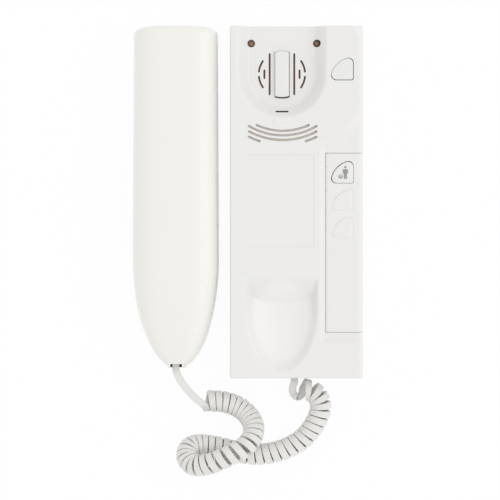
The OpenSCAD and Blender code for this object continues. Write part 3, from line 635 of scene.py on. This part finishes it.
# Openings: the slots round the pad, the rows of the call sounder, the holes for the pad, the catch, the door
# key and the screws, and the gap for the cord. Each key rests a little off the middle of its opening.
key_gap, key_play = 0.32, 0.12
slot_w, buzzer_slot_w = 1.25, 1.5
ear_ring_r, ear_slot_x, ear_dash_x = 14.5, 7.7, 11
buzzer_x, buzzer_y = axis_x + 0.4, 82.8
screw_y, screw_middle, screw_apart, screw_hole_r = 99.2, -7.7, 20.5, 2.4
screw_places = [(screw_middle + side * screw_apart, screw_y) for side in (-1, 1)]
cut_top = face_z + 3
openings = [(arc_slot(axis_x, dish_y, ear_ring_r, a, b, slot_w), dish_z)
            for a, b in ((6.5, 34.5), (145.5, 173.5), (186.5, 214.5), (325.5, 353.5))]
for side in (-1, 1):
    openings += [(line_slot(axis_x + side * ear_slot_x, dish_y, 26.3, slot_w), dish_z),
                 (line_slot(axis_x + side * ear_dash_x, dish_y, 6, slot_w), dish_z)]
for r, a, b in ((38.5, -24.8, 24.8), (41.3, -30.5, 30.5), (44.2, -28.3, 28.3), (47.2, -26.4, -17.9),
                (47.2, 17.9, 26.4)):
    openings.append((arc_slot(buzzer_x, buzzer_y, r, a - 90, b - 90, buzzer_slot_w), face_z))
openings += [(pad_outline(axis_x + 0.1, dish_y - 0.3, 4.65, 14.9), dish_z),
             (box_outline(axis_x - 4, axis_x + 4, 56, 57), dish_z)]
openings = [slab("cutter", outline, top - wall - 1.5, cut_top) for outline, top in openings]
door_opening = key_outline(door_key_x + key_play, door_key_y - key_play, key_gap)
openings.append(slab("cutter", door_opening, column_z - wall, cut_top))
openings += [slab("cutter", disc(x, y, screw_hole_r), 14, cut_top) for x, y in screw_places]
openings.append(slab("cutter", box_outline(-7.3, 4.9, -half_l - 2, -half_l + wall + 1), -1, 13.7))
cut(cover, [joined(openings)])

# Seat of the button strip: its space, a shallow groove round it, then a ledge that runs round under it.
strip_x0, strip_x1, strip_y0, strip_y1 = 18.4, 44, -81.3, 30.3
for gap, seat_z in ((0.06, 13.7), (0.5, column_z - 0.75)):
    seat = box_outline(strip_x0 - gap, strip_x1, strip_y0 - gap, strip_y1 + gap)
    cut(cover, [slab("cutter", seat, seat_z, cut_top)])
ledge_z, ledge_w = column_z - wall - 0.1, 2.4
ledge_outer = box_outline(strip_x0 - ledge_w, half_w - wall + 0.1, strip_y0 - ledge_w, strip_y1 + ledge_w)
ledge_inner = box_outline(strip_x0 + ledge_w, 50, strip_y0 + ledge_w, strip_y1 - ledge_w)
ledge = slab("ledge", ledge_outer, ledge_z - wall, ledge_z)
cut(ledge, [slab("cutter", ledge_inner, 0, 40)])
cut(cover, [ledge], "UNION")
smoothed(cover)


def moulded(name, light, dark, gloss, grain, grain_depth=0.00003, **constants):
    """Moulded plastic: faint clouds in its colour, patches of duller gloss, and the fine skin of the tool."""
    material, place = new_finish(name, **constants)
    cloud = place.noise(22.0, 3.0)
    speck = place.noise(900.0)
    (0.8 * cloud + 0.2 * speck).colour(light, dark).feed("Base Color")
    (gloss - 0.05 + 0.1 * cloud + 0.04 * speck).feed("Roughness")
    place.noise(grain).raise_skin(0.2, grain_depth)
    return material


def dress(piece, material):
    """Gives a piece its finish."""
    piece.data.materials.clear()
    piece.data.materials.append(material)


cover_white = moulded("cover_white", (0.832, 0.824, 0.808), (0.808, 0.80, 0.785), 0.3, 2400.0)

# The bowl for the mouthpiece gets painted light: its colour is a little lighter than the rest, to lift the
# shade of its walls.
bowl_middle_y, bowl_half_l, bowl_fade = -77, 30, 2.5
cover_nodes = cover_white.node_tree.nodes
plain_white = Tint(cover_nodes["Principled BSDF"].inputs["Base Color"].links[0].from_socket)
place = Tint(cover_nodes.new("ShaderNodeTexCoord").outputs["Object"])
off_x = (place.part(0) - axis_x * MM) * (1 / (recess_half * MM))
off_y = (place.part(1) - bowl_middle_y * MM) * (1 / (bowl_half_l * MM))
bowl_painted_light = (1 - (off_x * off_x + off_y * off_y)) * bowl_fade
bowl_painted_light = bowl_painted_light.maths("MINIMUM", bowl_painted_light.maths("MAXIMUM", bowl_painted_light, 0), 1)
# Painted light: the colour inside the bowl is a lighter white, fading out towards its rim.
bowl_painted_light.colour(plain_white, (0.863, 0.856, 0.844)).feed("Base Color")
dress(cover, cover_white)
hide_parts("front_cover")
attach(cover, "base")

# ---------------- buzzer gauze
# One curved strip of taupe dust cloth in a plain weave. It is glued inside the cover under the curved slots,
# and keeps the dust out of the call sounder.
gauze_z, gauze_top_z = 25.3, 25.6
gauze = slab("buzzer_gauze", arc_slot(buzzer_x, buzzer_y, 42.9, -126, -54, 13), gauze_z, gauze_top_z)
gauze_taupe, place = new_finish("gauze_taupe", Specular_IOR_Level=0.1)
thread_pitch = 0.0005
threads = [v.maths("SINE", v * (2 * math.pi / thread_pitch), 0) for v in (place.part(0), place.part(1))]
weave = 0.5 + 0.25 * threads[0] + 0.25 * threads[1]
weave.colour((0.72, 0.66, 0.61), (0.9, 0.84, 0.79)).feed("Base Color")
(0.8 + 0.15 * weave).feed("Roughness")
dress(gauze, gauze_taupe)
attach(gauze, "base")

# ---------------- earpiece gauze
# Narrow strips of brown felted dust cloth, one behind each slot round the pad. They are glued to the
# underside of the cradle's floor.
strip_w, dash_strip_w = 3, 2.6
ear_strips = [arc_slot(axis_x, dish_y, ear_ring_r, a, b, strip_w)
              for a, b in ((2, 39), (141, 178), (182, 219), (321, 358))]
for side in (-1, 1):
    ear_strips += [line_slot(axis_x + side * ear_slot_x, dish_y, 28.5, strip_w),
                   line_slot(axis_x + side * ear_dash_x, dish_y, 8, dash_strip_w)]
ear_gauze_z, ear_gauze_top_z = 16.45, 16.75
ear_gauze = joined([slab("ear_gauze", outline, ear_gauze_z, ear_gauze_top_z) for outline in ear_strips])


def mottled(name, first, second, dull, spread, scale, detail=3.0, relief=None, **constants):
    """A finish with one fine pattern in its colour, its gloss and, where it has relief, its surface."""
    material, place = new_finish(name, **constants)
    pattern = place.noise(scale, detail)
    pattern.colour(first, second).feed("Base Color")
    (dull + spread * pattern).feed("Roughness")
    if relief:
        pattern.raise_skin(0.8, relief)
    return material


gauze_brown = mottled("gauze_brown", (0.22, 0.135, 0.115), (0.34, 0.22, 0.185), 0.8, 0.15, 1200.0,
                      Specular_IOR_Level=0.1)
dress(ear_gauze, gauze_brown)
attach(ear_gauze, "base")

# ---------------- button strip
# A separate strip of the cover's white ABS, which snaps into the right-hand column and wraps down its side.
# It has one open key place, and two blank ones that are only a fine moulded outline.
strip_edge = [0, 0.08, 0.25, 0.5]
strip_edge_r = strip_edge[-1]
strip_x = lines(strip_x0, half_w, 0.55,
                [strip_x0 + e for e in strip_edge] + [half_w - b for b in right_border])
strip_y = lines(strip_y0, strip_y1, 0.6,
                [strip_y0 + e for e in strip_edge] + [strip_y1 - e for e in strip_edge])
strip_foot_z = 14
blank_key_y = (1.55, -15.7)
outline_depth, outline_in = 0.55, 0.3


def key_field(x, y, cy):
    """Depth inside the outline of a key, below 0 outside it."""
    px, py = x - key_x, y - cy
    inside = np.minimum(np.minimum(key_w / 2 - px, py + key_l / 2),
                        key_arc_r - np.hypot(px - key_arc_off, py + key_arc_off))
    tip_r, tip_drop = 2.2, 0.3
    right_x, right_y = key_w / 2 - tip_r, key_l / 2 - tip_r - tip_drop
    left_x, left_y = tip_r - key_w / 2, tip_r - key_l / 2
    right = np.where((px > right_x) & (py > right_y), tip_r - np.hypot(px - right_x, py - right_y), np.inf)
    left = np.where((px < left_x) & (py < left_y), tip_r - np.hypot(px - left_x, py - left_y), np.inf)
    return np.minimum(inside, np.minimum(right, left))


def strip_corner(i, j, inside=False):
    """Corner of the strip's grid; its last line across is the foot of its outer side."""
    x = strip_x[np.clip(i, 0, len(strip_x) - 1)]
    y = strip_y[j]
    height = front_height(x, y) - round_over(half_w - x, right_edge_r)
    edge = np.minimum(x - strip_x0, np.minimum(y - strip_y0, strip_y1 - y))
    height = height - round_over(edge, strip_edge_r)
    for cy in blank_key_y:
        height = height - outline_depth * np.exp(-((key_field(x, y, cy) - outline_in) / outline_in) ** 2)
    if inside:
        x, height = walled_in(x, half_w, draw_in_x), height - wall
    return x, y, np.where(i == len(strip_x), strip_foot_z, height)


button_strip = walled("button_strip", len(strip_x) + 1, len(strip_y), strip_corner,
                      lambda i, j: strip_corner(i, j, inside=True))
panel_opening = key_outline(key_x - key_play, panel_key_y + key_play, key_gap)
cut(button_strip, [slab("cutter", panel_opening, 20, 30)])
smoothed(button_strip)
dress(button_strip, cover_white)
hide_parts("panel_strip")
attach(button_strip, "base")

# ---------------- keys
# Two loose keys of ABS, slightly whiter than the cover. Each is a cap with a softly rounded rim, a flange
# that keeps it in and a stem over its switch. The lower one carries a small grey print of a caller.
key_rise, key_rim_r, stem_z = 0.55, 0.45, 14.3
key_white = moulded("key_white", (0.82, 0.815, 0.80), (0.795, 0.79, 0.775), 0.26, 2600.0)
for body, cx, cy, top in (("door_button", door_key_x, door_key_y, face_z),
                          ("panel_button", key_x, panel_key_y, column_z)):
    cap = slab(body + "_cap", key_outline(cx, cy), top - 4, top + key_rise)
    rounded_edges(cap, key_rim_r, 4, 50, top)
    flange = slab("flange", key_outline(cx, cy, 1), top - wall - 1.9, top - wall - 0.4)
    stem = slab("stem", disc(cx, cy, 2.4), stem_z, top - 3)
    key = joined([cap, flange, stem])
    smoothed(key, 40)
    dress(key, key_white)
    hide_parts(body)
    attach(key, body)

# Print on the panel key: a standing figure beside a round push, in grey ink.
ink_grey = mottled("ink_grey", (0.27, 0.265, 0.28), (0.36, 0.355, 0.37), 0.5, 0.2, 3000.0, detail=2.0,
                   Specular_IOR_Level=0.3)
ink_z = column_z + key_rise - 0.005
ink_top_z = ink_z + 0.03
figure_x, figure_y = 30.5, 18.2
body_side = [(0.12, -3.9), (0.95, -3.9), (1.1, -0.2), (1.75, -0.2), (1.55, 2.3)]
body_outline = [(-x, y) for x, y in body_side[::-1]] + [(0, -0.9)] + body_side
figure = [slab("key_print", [(figure_x + x, figure_y + y) for x, y in body_outline], ink_z, ink_top_z),
          slab("head", disc(figure_x, figure_y + 3.5, 0.75, 20), ink_z, ink_top_z)]
push_x = figure_x - 2.95
push = slab("push", disc(push_x, figure_y - 2.3, 1.35, 24), ink_z, ink_top_z)
cut(push, [slab("cutter", disc(push_x, figure_y - 1.95, 0.62, 20), ink_z - 1, ink_z + 1)])
print_on_key = joined(figure + [push])
dress(print_on_key, ink_grey)
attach(print_on_key, "panel_button")

# ---------------- hook lever
# The white pad that the hung-up handset presses, of the keys' ABS: a strip with round ends and soft edges. It
# is one moulding with the arm under it, which turns on a steel pin.
pad_foot_z, pad_top_z, arm_top_z = 16, 22, 16.4
hook_pad = slab("hook_pad", pad_outline(axis_x, dish_y, 4.4, 14.4), pad_foot_z, pad_top_z)
rounded_edges(hook_pad, 0.8, 4, 50, pad_top_z - 1)
lever_copy = frame["nodes"]["hook_lever"].copy()
lever_copy.data = lever_copy.data.copy()
bpy.context.scene.collection.objects.link(lever_copy)
lever_copy.parent = None
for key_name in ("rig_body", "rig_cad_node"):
    del lever_copy[key_name]
only(lever_copy)
bpy.ops.object.mode_set(mode="EDIT")
bpy.ops.mesh.select_all(action="SELECT")
bpy.ops.mesh.remove_doubles(threshold=1e-6)
bpy.ops.mesh.bisect(plane_co=(0, 0, arm_top_z * MM), plane_no=(0, 0, 1), use_fill=True, clear_outer=True)
bpy.ops.object.mode_set(mode="OBJECT")
hook_pad = joined([hook_pad, lever_copy])
smoothed(hook_pad, 40)
dress(hook_pad, key_white)
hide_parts("hook_lever")
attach(hook_pad, "hook_lever")
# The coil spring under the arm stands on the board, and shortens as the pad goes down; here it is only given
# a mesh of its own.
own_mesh(frame["nodes"]["lever_spring"])

# ---------------- cover screws
# Two self-tapping steel screws through the floor of the cradle into the posts of the rear plate. Their low
# domed heads are in mottled brown lacquer, with painted light that makes each head lighter in the middle.
light_middle_r = 1.1
screw_brown, place = new_finish("screw_brown", Metallic=0.35, Specular_IOR_Level=0.5)
head_mottle = place.noise(1400.0, 3.0)
off_x = place.part(0) - screw_middle * MM
off_x = off_x.maths("ABSOLUTE", off_x, 0) - screw_apart * MM
off_y = place.part(1) - screw_y * MM
# Painted light: a lighter colour over the middle of each head, where its recess would be shaded.
painted_light_middle = 1 - (off_x * off_x + off_y * off_y).above((light_middle_r * MM) ** 2)
lacquer = head_mottle.colour((0.115, 0.062, 0.042), (0.17, 0.095, 0.065))
painted_light_middle.colour(lacquer, head_mottle.colour((0.25, 0.13, 0.09), (0.36, 0.2, 0.14))).feed("Base Color")
(0.42 + 0.2 * head_mottle).feed("Roughness")
heads = []
for x, y in screw_places:
    head = slab("cover_screw_pair", disc(x, y, 2.25, 40), dish_z - 1.5, dish_z - 0.25)
    rounded_edges(head, 0.5, 5, 50, dish_z - 0.4)
    cut(head, [slab("cutter", disc(x, y, 1, 32), dish_z - 0.5, dish_z + 1)])
    heads += [head, slab("shank", disc(x, y, 1.4, 24), 8.5, dish_z - 1.4)]
screw_heads = joined(heads)
smoothed(screw_heads, 40)
dress(screw_heads, screw_brown)
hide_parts("cover_screws")
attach(screw_heads, "base")

# ---------------- handset
# The receiver: a domed back shell and a flatter face shell of warm white ABS, which meet on a fine line half
# way up its sides and are screwed together in the grip. It lies face down beside the base, and tapers to a
# blunt end with a notch for the cord.
handset_x, handset_top, handset_end = -75.4, 110, -103.8
split_z, grip_z = 14, 9.5
# Half its width at the mouthpiece and at the blunt end, and how much narrower it is at the top
handset_half, end_half, narrower = 27, 5.6, 0.7
# Where it starts to taper and how far that goes on; the rise of its back over the split
taper_y, taper_l, crown_rise = -35, 69.3, 19
# The rounded top: its length, and how far it comes in at the sides and down at the crown
nose_l, nose_in, nose_fall = 5, 12.5, 7
# How far the blunt end leans to the right, from where, and over what length
lean_far, lean_y, lean_l = 0.8, -70, 25


def taper(y):
    """Share of its full width that the handset has at y."""
    return np.where(y > taper_y, 1, np.sqrt(np.maximum(0, 1 - (np.minimum(y - taper_y, 0) / taper_l) ** 2)))


def nose(y):
    """How far the rounded top has turned in at y, from 0 to 1."""
    d = np.maximum(0, nose_l - (handset_top - y)) / nose_l
    return 1 - np.sqrt(np.maximum(0, 1 - d * d))


def half_at(y):
    """Half the width of the handset at y."""
    full = handset_half - narrower * np.clip((y + 40) / 150, 0, 1)
    return np.maximum(end_half, full * taper(y)) - nose_in * nose(y)


def lean(y):
    """How far the handset leans to the right at y."""
    return lean_far * np.clip((lean_y - y) / lean_l, 0, 1)


def crown_at(y):
    """Height of the middle of the domed back at y."""
    return split_z + crown_rise * np.maximum(taper(y), 0.16) ** 0.45 - nose_fall * nose(y)


def drawn_in(y, inset):
    """Moves the two ends of an inner wall in."""
    return y - inset * np.clip((y - 60) / 50, 0, 1) + inset * np.clip((-60 - y) / 43, 0, 1)


# Rings along the handset, and the rows that close each end, by the share of the height that is left there.
station = np.concatenate([
    handset_top - np.array([0, 0.04, 0.15, 0.35, 0.65, 1.05, 1.55, 2.15, 2.85, 3.6, 4.4, 5, 6, 8, 11]),
    np.arange(96, -33, -4), np.arange(-35, -92, -2.5), np.arange(-93, -103, -1.2),
    [-103.2, handset_end]])[::-1]
end_rows = [0.0, 0.5, 0.9]
n_rows = len(station) + 2 * len(end_rows)
# A section of the back is squarer than an ellipse, by these powers of its width and its height
n_round = 64
side_power, crown_power = 0.54, 0.66
# Half the fine line between the two shells
half_line = 0.06


def back_corner(i, j, inset=0.0):
    """Corner of the back shell: rings from side to side over the crown, and rows that close its two ends."""
    y = station[np.clip(j - len(end_rows), 0, len(station) - 1)]
    closing = np.ones(len(j))
    for row, share in enumerate(end_rows):
        closing = np.where((j == row) | (j == n_rows - 1 - row), share, closing)
    a = np.pi * i / n_round
    c, s = np.cos(a), np.sin(a)
    w, h = half_at(y) - inset, crown_at(y) - split_z - inset
    x = handset_x + lean(y) + w * np.sign(c) * np.abs(c) ** side_power
    z = split_z + half_line + h * np.maximum(s, 0) ** crown_power * closing
    return x, drawn_in(y, inset), z


def notch_cutters():
    """The notch in the blunt end, and the room for the socket behind it."""
    mouth_y, room_y = handset_end + 2.6, handset_end + 16.2
    return [slab("cutter", box_outline(handset_x - 3.4, handset_x + 4.5, handset_end - 2, mouth_y), -2, 40),
            slab("cutter", box_outline(handset_x - 6.1, handset_x + 6.1, mouth_y, room_y), 10.4, 21.6)]


handset_back = walled("handset_back", n_round + 1, n_rows, back_corner, lambda i, j: back_corner(i, j, wall))
cut(handset_back, notch_cutters())
smoothed(handset_back, 38)
handset_white = moulded("handset_white", (0.872, 0.862, 0.822), (0.85, 0.84, 0.802), 0.24, 2200.0)
dress(handset_back, handset_white)
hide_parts("back_shell")
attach(handset_back, "handset")

# Face shell: the grip, with the earpiece and the mouthpiece standing out of it towards the table. Its side
# goes from the split to the face, by the share of the rounded edge that it is out and its height.
face_side = [(1, split_z), (1, 12), (0.93, 11.2), (0.72, 10.3), (0.4, 9.7), (0, grip_z)]
face_edge_r = 2.5
n_face = 76
# The earpiece: half its width, how steep its wall is and where it ends
ear_half, ear_steep, ear_top_y = 20.4, 2.5, 102.6
# The mouthpiece, which fits the bowl of the cover: half its width and how far it keeps from the sides, how
# much it rises to its rim and how steep its wall is, how high its two slopes start, and where it ends
mouth_half, mouth_in = 21.3, 2.8
mouth_rise, mouth_steep = 4.7, 2.4
mouth_gentle_z, mouth_steep_z = 9.4, 5.4
mouth_end_y, mouth_end_steep = -96.5, 3


def face_height(x, y):
    """Height of the face side, which looks down."""
    dx, dy = x - handset_x, y - dish_y
    r = np.where(dy > 0, np.abs(dx), np.hypot(dx, dy))
    r = soft_high(r, y - ear_top_y + ear_half, 1.5)
    ear = soft_high(0 * r, (r - ear_half) * ear_steep, 1.4) + 0.8 * np.exp(-(r / 9) ** 2)
    half = np.minimum(mouth_half, half_at(y) - mouth_in)
    bulge = mouth_rise * recess_share(dx, y) ** 2
    mouth = soft_high(bulge, grip_z + (np.abs(dx) - half) * mouth_steep, 1.4)
    mouth = soft_high(mouth, recess_slope(y, mouth_gentle_z, mouth_steep_z), 0.8)
    mouth = soft_high(mouth, (mouth_end_y - y) * mouth_end_steep, 1.2)
    return soft_low(grip_z + 0 * r, soft_low(ear, mouth, 0.5), 1.0)


def face_corner(i, j, inset=0.0):
    """Corner of the face shell: up the side, over the rounded edge and across the face."""
    n, m = len(station), len(face_side)
    y = station[np.clip(j - len(end_rows), 0, n - 1)]
    side = np.where(i < n_face / 2, -1, 1)
    step = np.minimum(i, n_face - i)
    out, rise = np.array(face_side + [(0, 0)]).T[:, np.minimum(step, m)]
    flat = half_at(y) - inset - face_edge_r
    across = flat * (i - n_face / 2) / (n_face / 2 - m + 1)
    x = np.where(step < m, side * (flat + face_edge_r * out), across) + handset_x
    face = face_height(x, y)
    z = np.where(step < m, np.minimum(rise, np.where(step == m - 1, face, rise)), face)
    end = (j < len(end_rows)) | (j >= n + len(end_rows))
    for row, share in enumerate(end_rows):
        z = np.where((j == row) | (j == n_rows - 1 - row), split_z + (z - split_z) * share, z)
    z = np.where(end & (z > split_z), split_z, z)
    z = z + np.where((step == 0) | end & (z > split_z - 1e-6), -half_line, inset)
    return x + lean(y), drawn_in(y, inset), np.minimum(z, split_z - half_line)


handset_face = walled("handset_face", n_face + 1, n_rows, face_corner, lambda i, j: face_corner(i, j, wall))
# Sound holes of the earpiece and the mouthpiece, and wells of the two screws that hold the shells together.
sound_places = [(handset_x, dish_y)] + disc(handset_x, dish_y, 4, 6) + disc(handset_x, dish_y, 8, 6)
holes = [slab("cutter", disc(x, y, 1, 16), -2, 5) for x, y in sound_places]
holes += [slab("cutter", disc(handset_x + x, -82, 0.8, 16), -2, 5) for x in (-3, 0, 3)]
holes += [slab("cutter", disc(handset_x, y, 2.75, 32), 8, 12) for y in (50, -42)]
cut(handset_face, [joined(holes)])
cut(handset_face, notch_cutters())
smoothed(handset_face, 38)
dress(handset_face, handset_white)
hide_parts("front_shell")
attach(handset_face, "handset")

# ---------------- what is inside, and the rear plate
# Plain parts that show only from behind, at the slots or in the notch: the moulded rear plate, the board and
# what is soldered to it, the lever's bracket, pin and spring, and the jacks, plugs and capsules.
plate_grey = moulded("plate_grey", (0.66, 0.66, 0.65), (0.62, 0.62, 0.61), 0.45, 1500.0, 0.00006)
dark_moulding = moulded("dark_moulding", (0.045, 0.035, 0.032), (0.06, 0.048, 0.043), 0.5, 1500.0, 0.00005)
plug_clear = moulded("plug_clear", (0.72, 0.72, 0.70), (0.66, 0.66, 0.64), 0.2, 1500.0)
terminal_green = moulded("terminal_green", (0.02, 0.16, 0.07), (0.03, 0.2, 0.09), 0.45, 1500.0)
trimmer_blue = moulded("trimmer_blue", (0.04, 0.1, 0.3), (0.06, 0.13, 0.36), 0.4, 1500.0)
capacitor_black = moulded("capacitor_black", (0.02, 0.02, 0.03), (0.035, 0.035, 0.05), 0.35, 1500.0)

board_brown, place = new_finish("board_brown")
weave = place.noise(700.0, 4.0)
track = place.noise(110.0, 0.0).above(0.56)
track.colour(weave.colour((0.20, 0.12, 0.045), (0.27, 0.165, 0.07)), (0.33, 0.21, 0.08)).feed("Base Color")
(0.45 + 0.2 * weave).feed("Roughness")

steel_bright = mottled("steel_bright", (0.52, 0.51, 0.49), (0.62, 0.61, 0.59), 0.28, 0.2, 1800.0,
                       Metallic=1.0)
foam_black = mottled("foam_black", (0.012, 0.012, 0.012), (0.05, 0.05, 0.05), 0.8, 0.15, 2500.0,
                     relief=0.0002, Specular_IOR_Level=0.1)

for finish, names in (
        (plate_grey, ("rear_plate", "lever_bracket")),
        (dark_moulding, ("hook_switch", "button_switches", "buzzer", "base_jack", "handset_jack",
                         "cradle_catch", "receiver_capsule")),
        (plug_clear, ("plug_handset", "plug_base")),
        (terminal_green, ("terminal_block",)), (trimmer_blue, ("volume_trimmer",)),
        (capacitor_black, ("capacitors",)), (board_brown, ("circuit_board",)),
        (foam_black, ("receiver_ring",)),
        (steel_bright, ("lever_pin", "lever_spring", "terminal_screws", "board_screws", "shell_screws",
                        "microphone_capsule", "ballast_weight"))):
    for name in names:
        dress(frame["nodes"][name], finish)

# ---------------- floor and light
# A matt white table top, a soft white sky and one broad lamp from the right, a little above. The table and
# the sky are lighter where the camera sees them than where they light the phone.
plain_share = 0.95
bpy.ops.object.select_all(action="DESELECT")
bpy.ops.mesh.primitive_plane_add(size=8, location=(0, 0, -0.0002))
floor = bpy.context.object
floor.name = "table_top"


def seen_directly(tree):
    """1 for what the camera sees, straight or in a gloss or glass, and 0 for light on the object."""
    path = tree.nodes.new("ShaderNodeLightPath")
    seen = Tint(path.outputs["Is Camera Ray"])
    for way in ("Is Glossy Ray", "Is Transmission Ray"):
        seen = seen.maths("MAXIMUM", seen, Tint(path.outputs[way]))
    return seen


table_white = bpy.data.materials.new("table_white")
table_white.use_nodes = True
tree = table_white.node_tree
tree.nodes.clear()
seen = seen_directly(tree)
matt = seen.node("ShaderNodeBsdfDiffuse", {}, {"Color": (0.96, 0.96, 0.96, 1)})
plain = seen.node("ShaderNodeEmission", {}, {"Color": (1, 1, 1, 1), "Strength": 1.0})
mixed = seen.node("ShaderNodeMixShader", {}, {0: seen * plain_share, 1: matt, 2: plain})
tree.links.new(mixed.socket, tree.nodes.new("ShaderNodeOutputMaterial").inputs["Surface"])
floor.data.materials.append(table_white)

# Strength of the sky straight above and at the horizon.
overhead, horizon = 0.85, 0.98
world = bpy.data.worlds.new("pale_room")
bpy.context.scene.world = world
world.use_nodes = True
tree = world.node_tree
tree.nodes.clear()
seen = seen_directly(tree)
up = Tint(tree.nodes.new("ShaderNodeTexCoord").outputs["Generated"]).part(2)
strength = horizon - (horizon - overhead) * up
room = seen.node("ShaderNodeBackground", {}, {"Color": (1, 1, 1, 1), "Strength": strength})
backdrop = seen.node("ShaderNodeBackground", {}, {"Color": (1, 1, 1, 1), "Strength": 1.0})
mixed = seen.node("ShaderNodeMixShader", {}, {0: seen, 1: room, 2: backdrop})
tree.links.new(mixed.socket, tree.nodes.new("ShaderNodeOutputWorld").inputs["Surface"])

bpy.ops.object.light_add(type="SUN", rotation=Vector((0.8, 0.1, 1)).to_track_quat("Z", "Y").to_euler())
lamp = bpy.context.object
lamp.data.energy = 0.5
lamp.data.angle = math.radians(50)
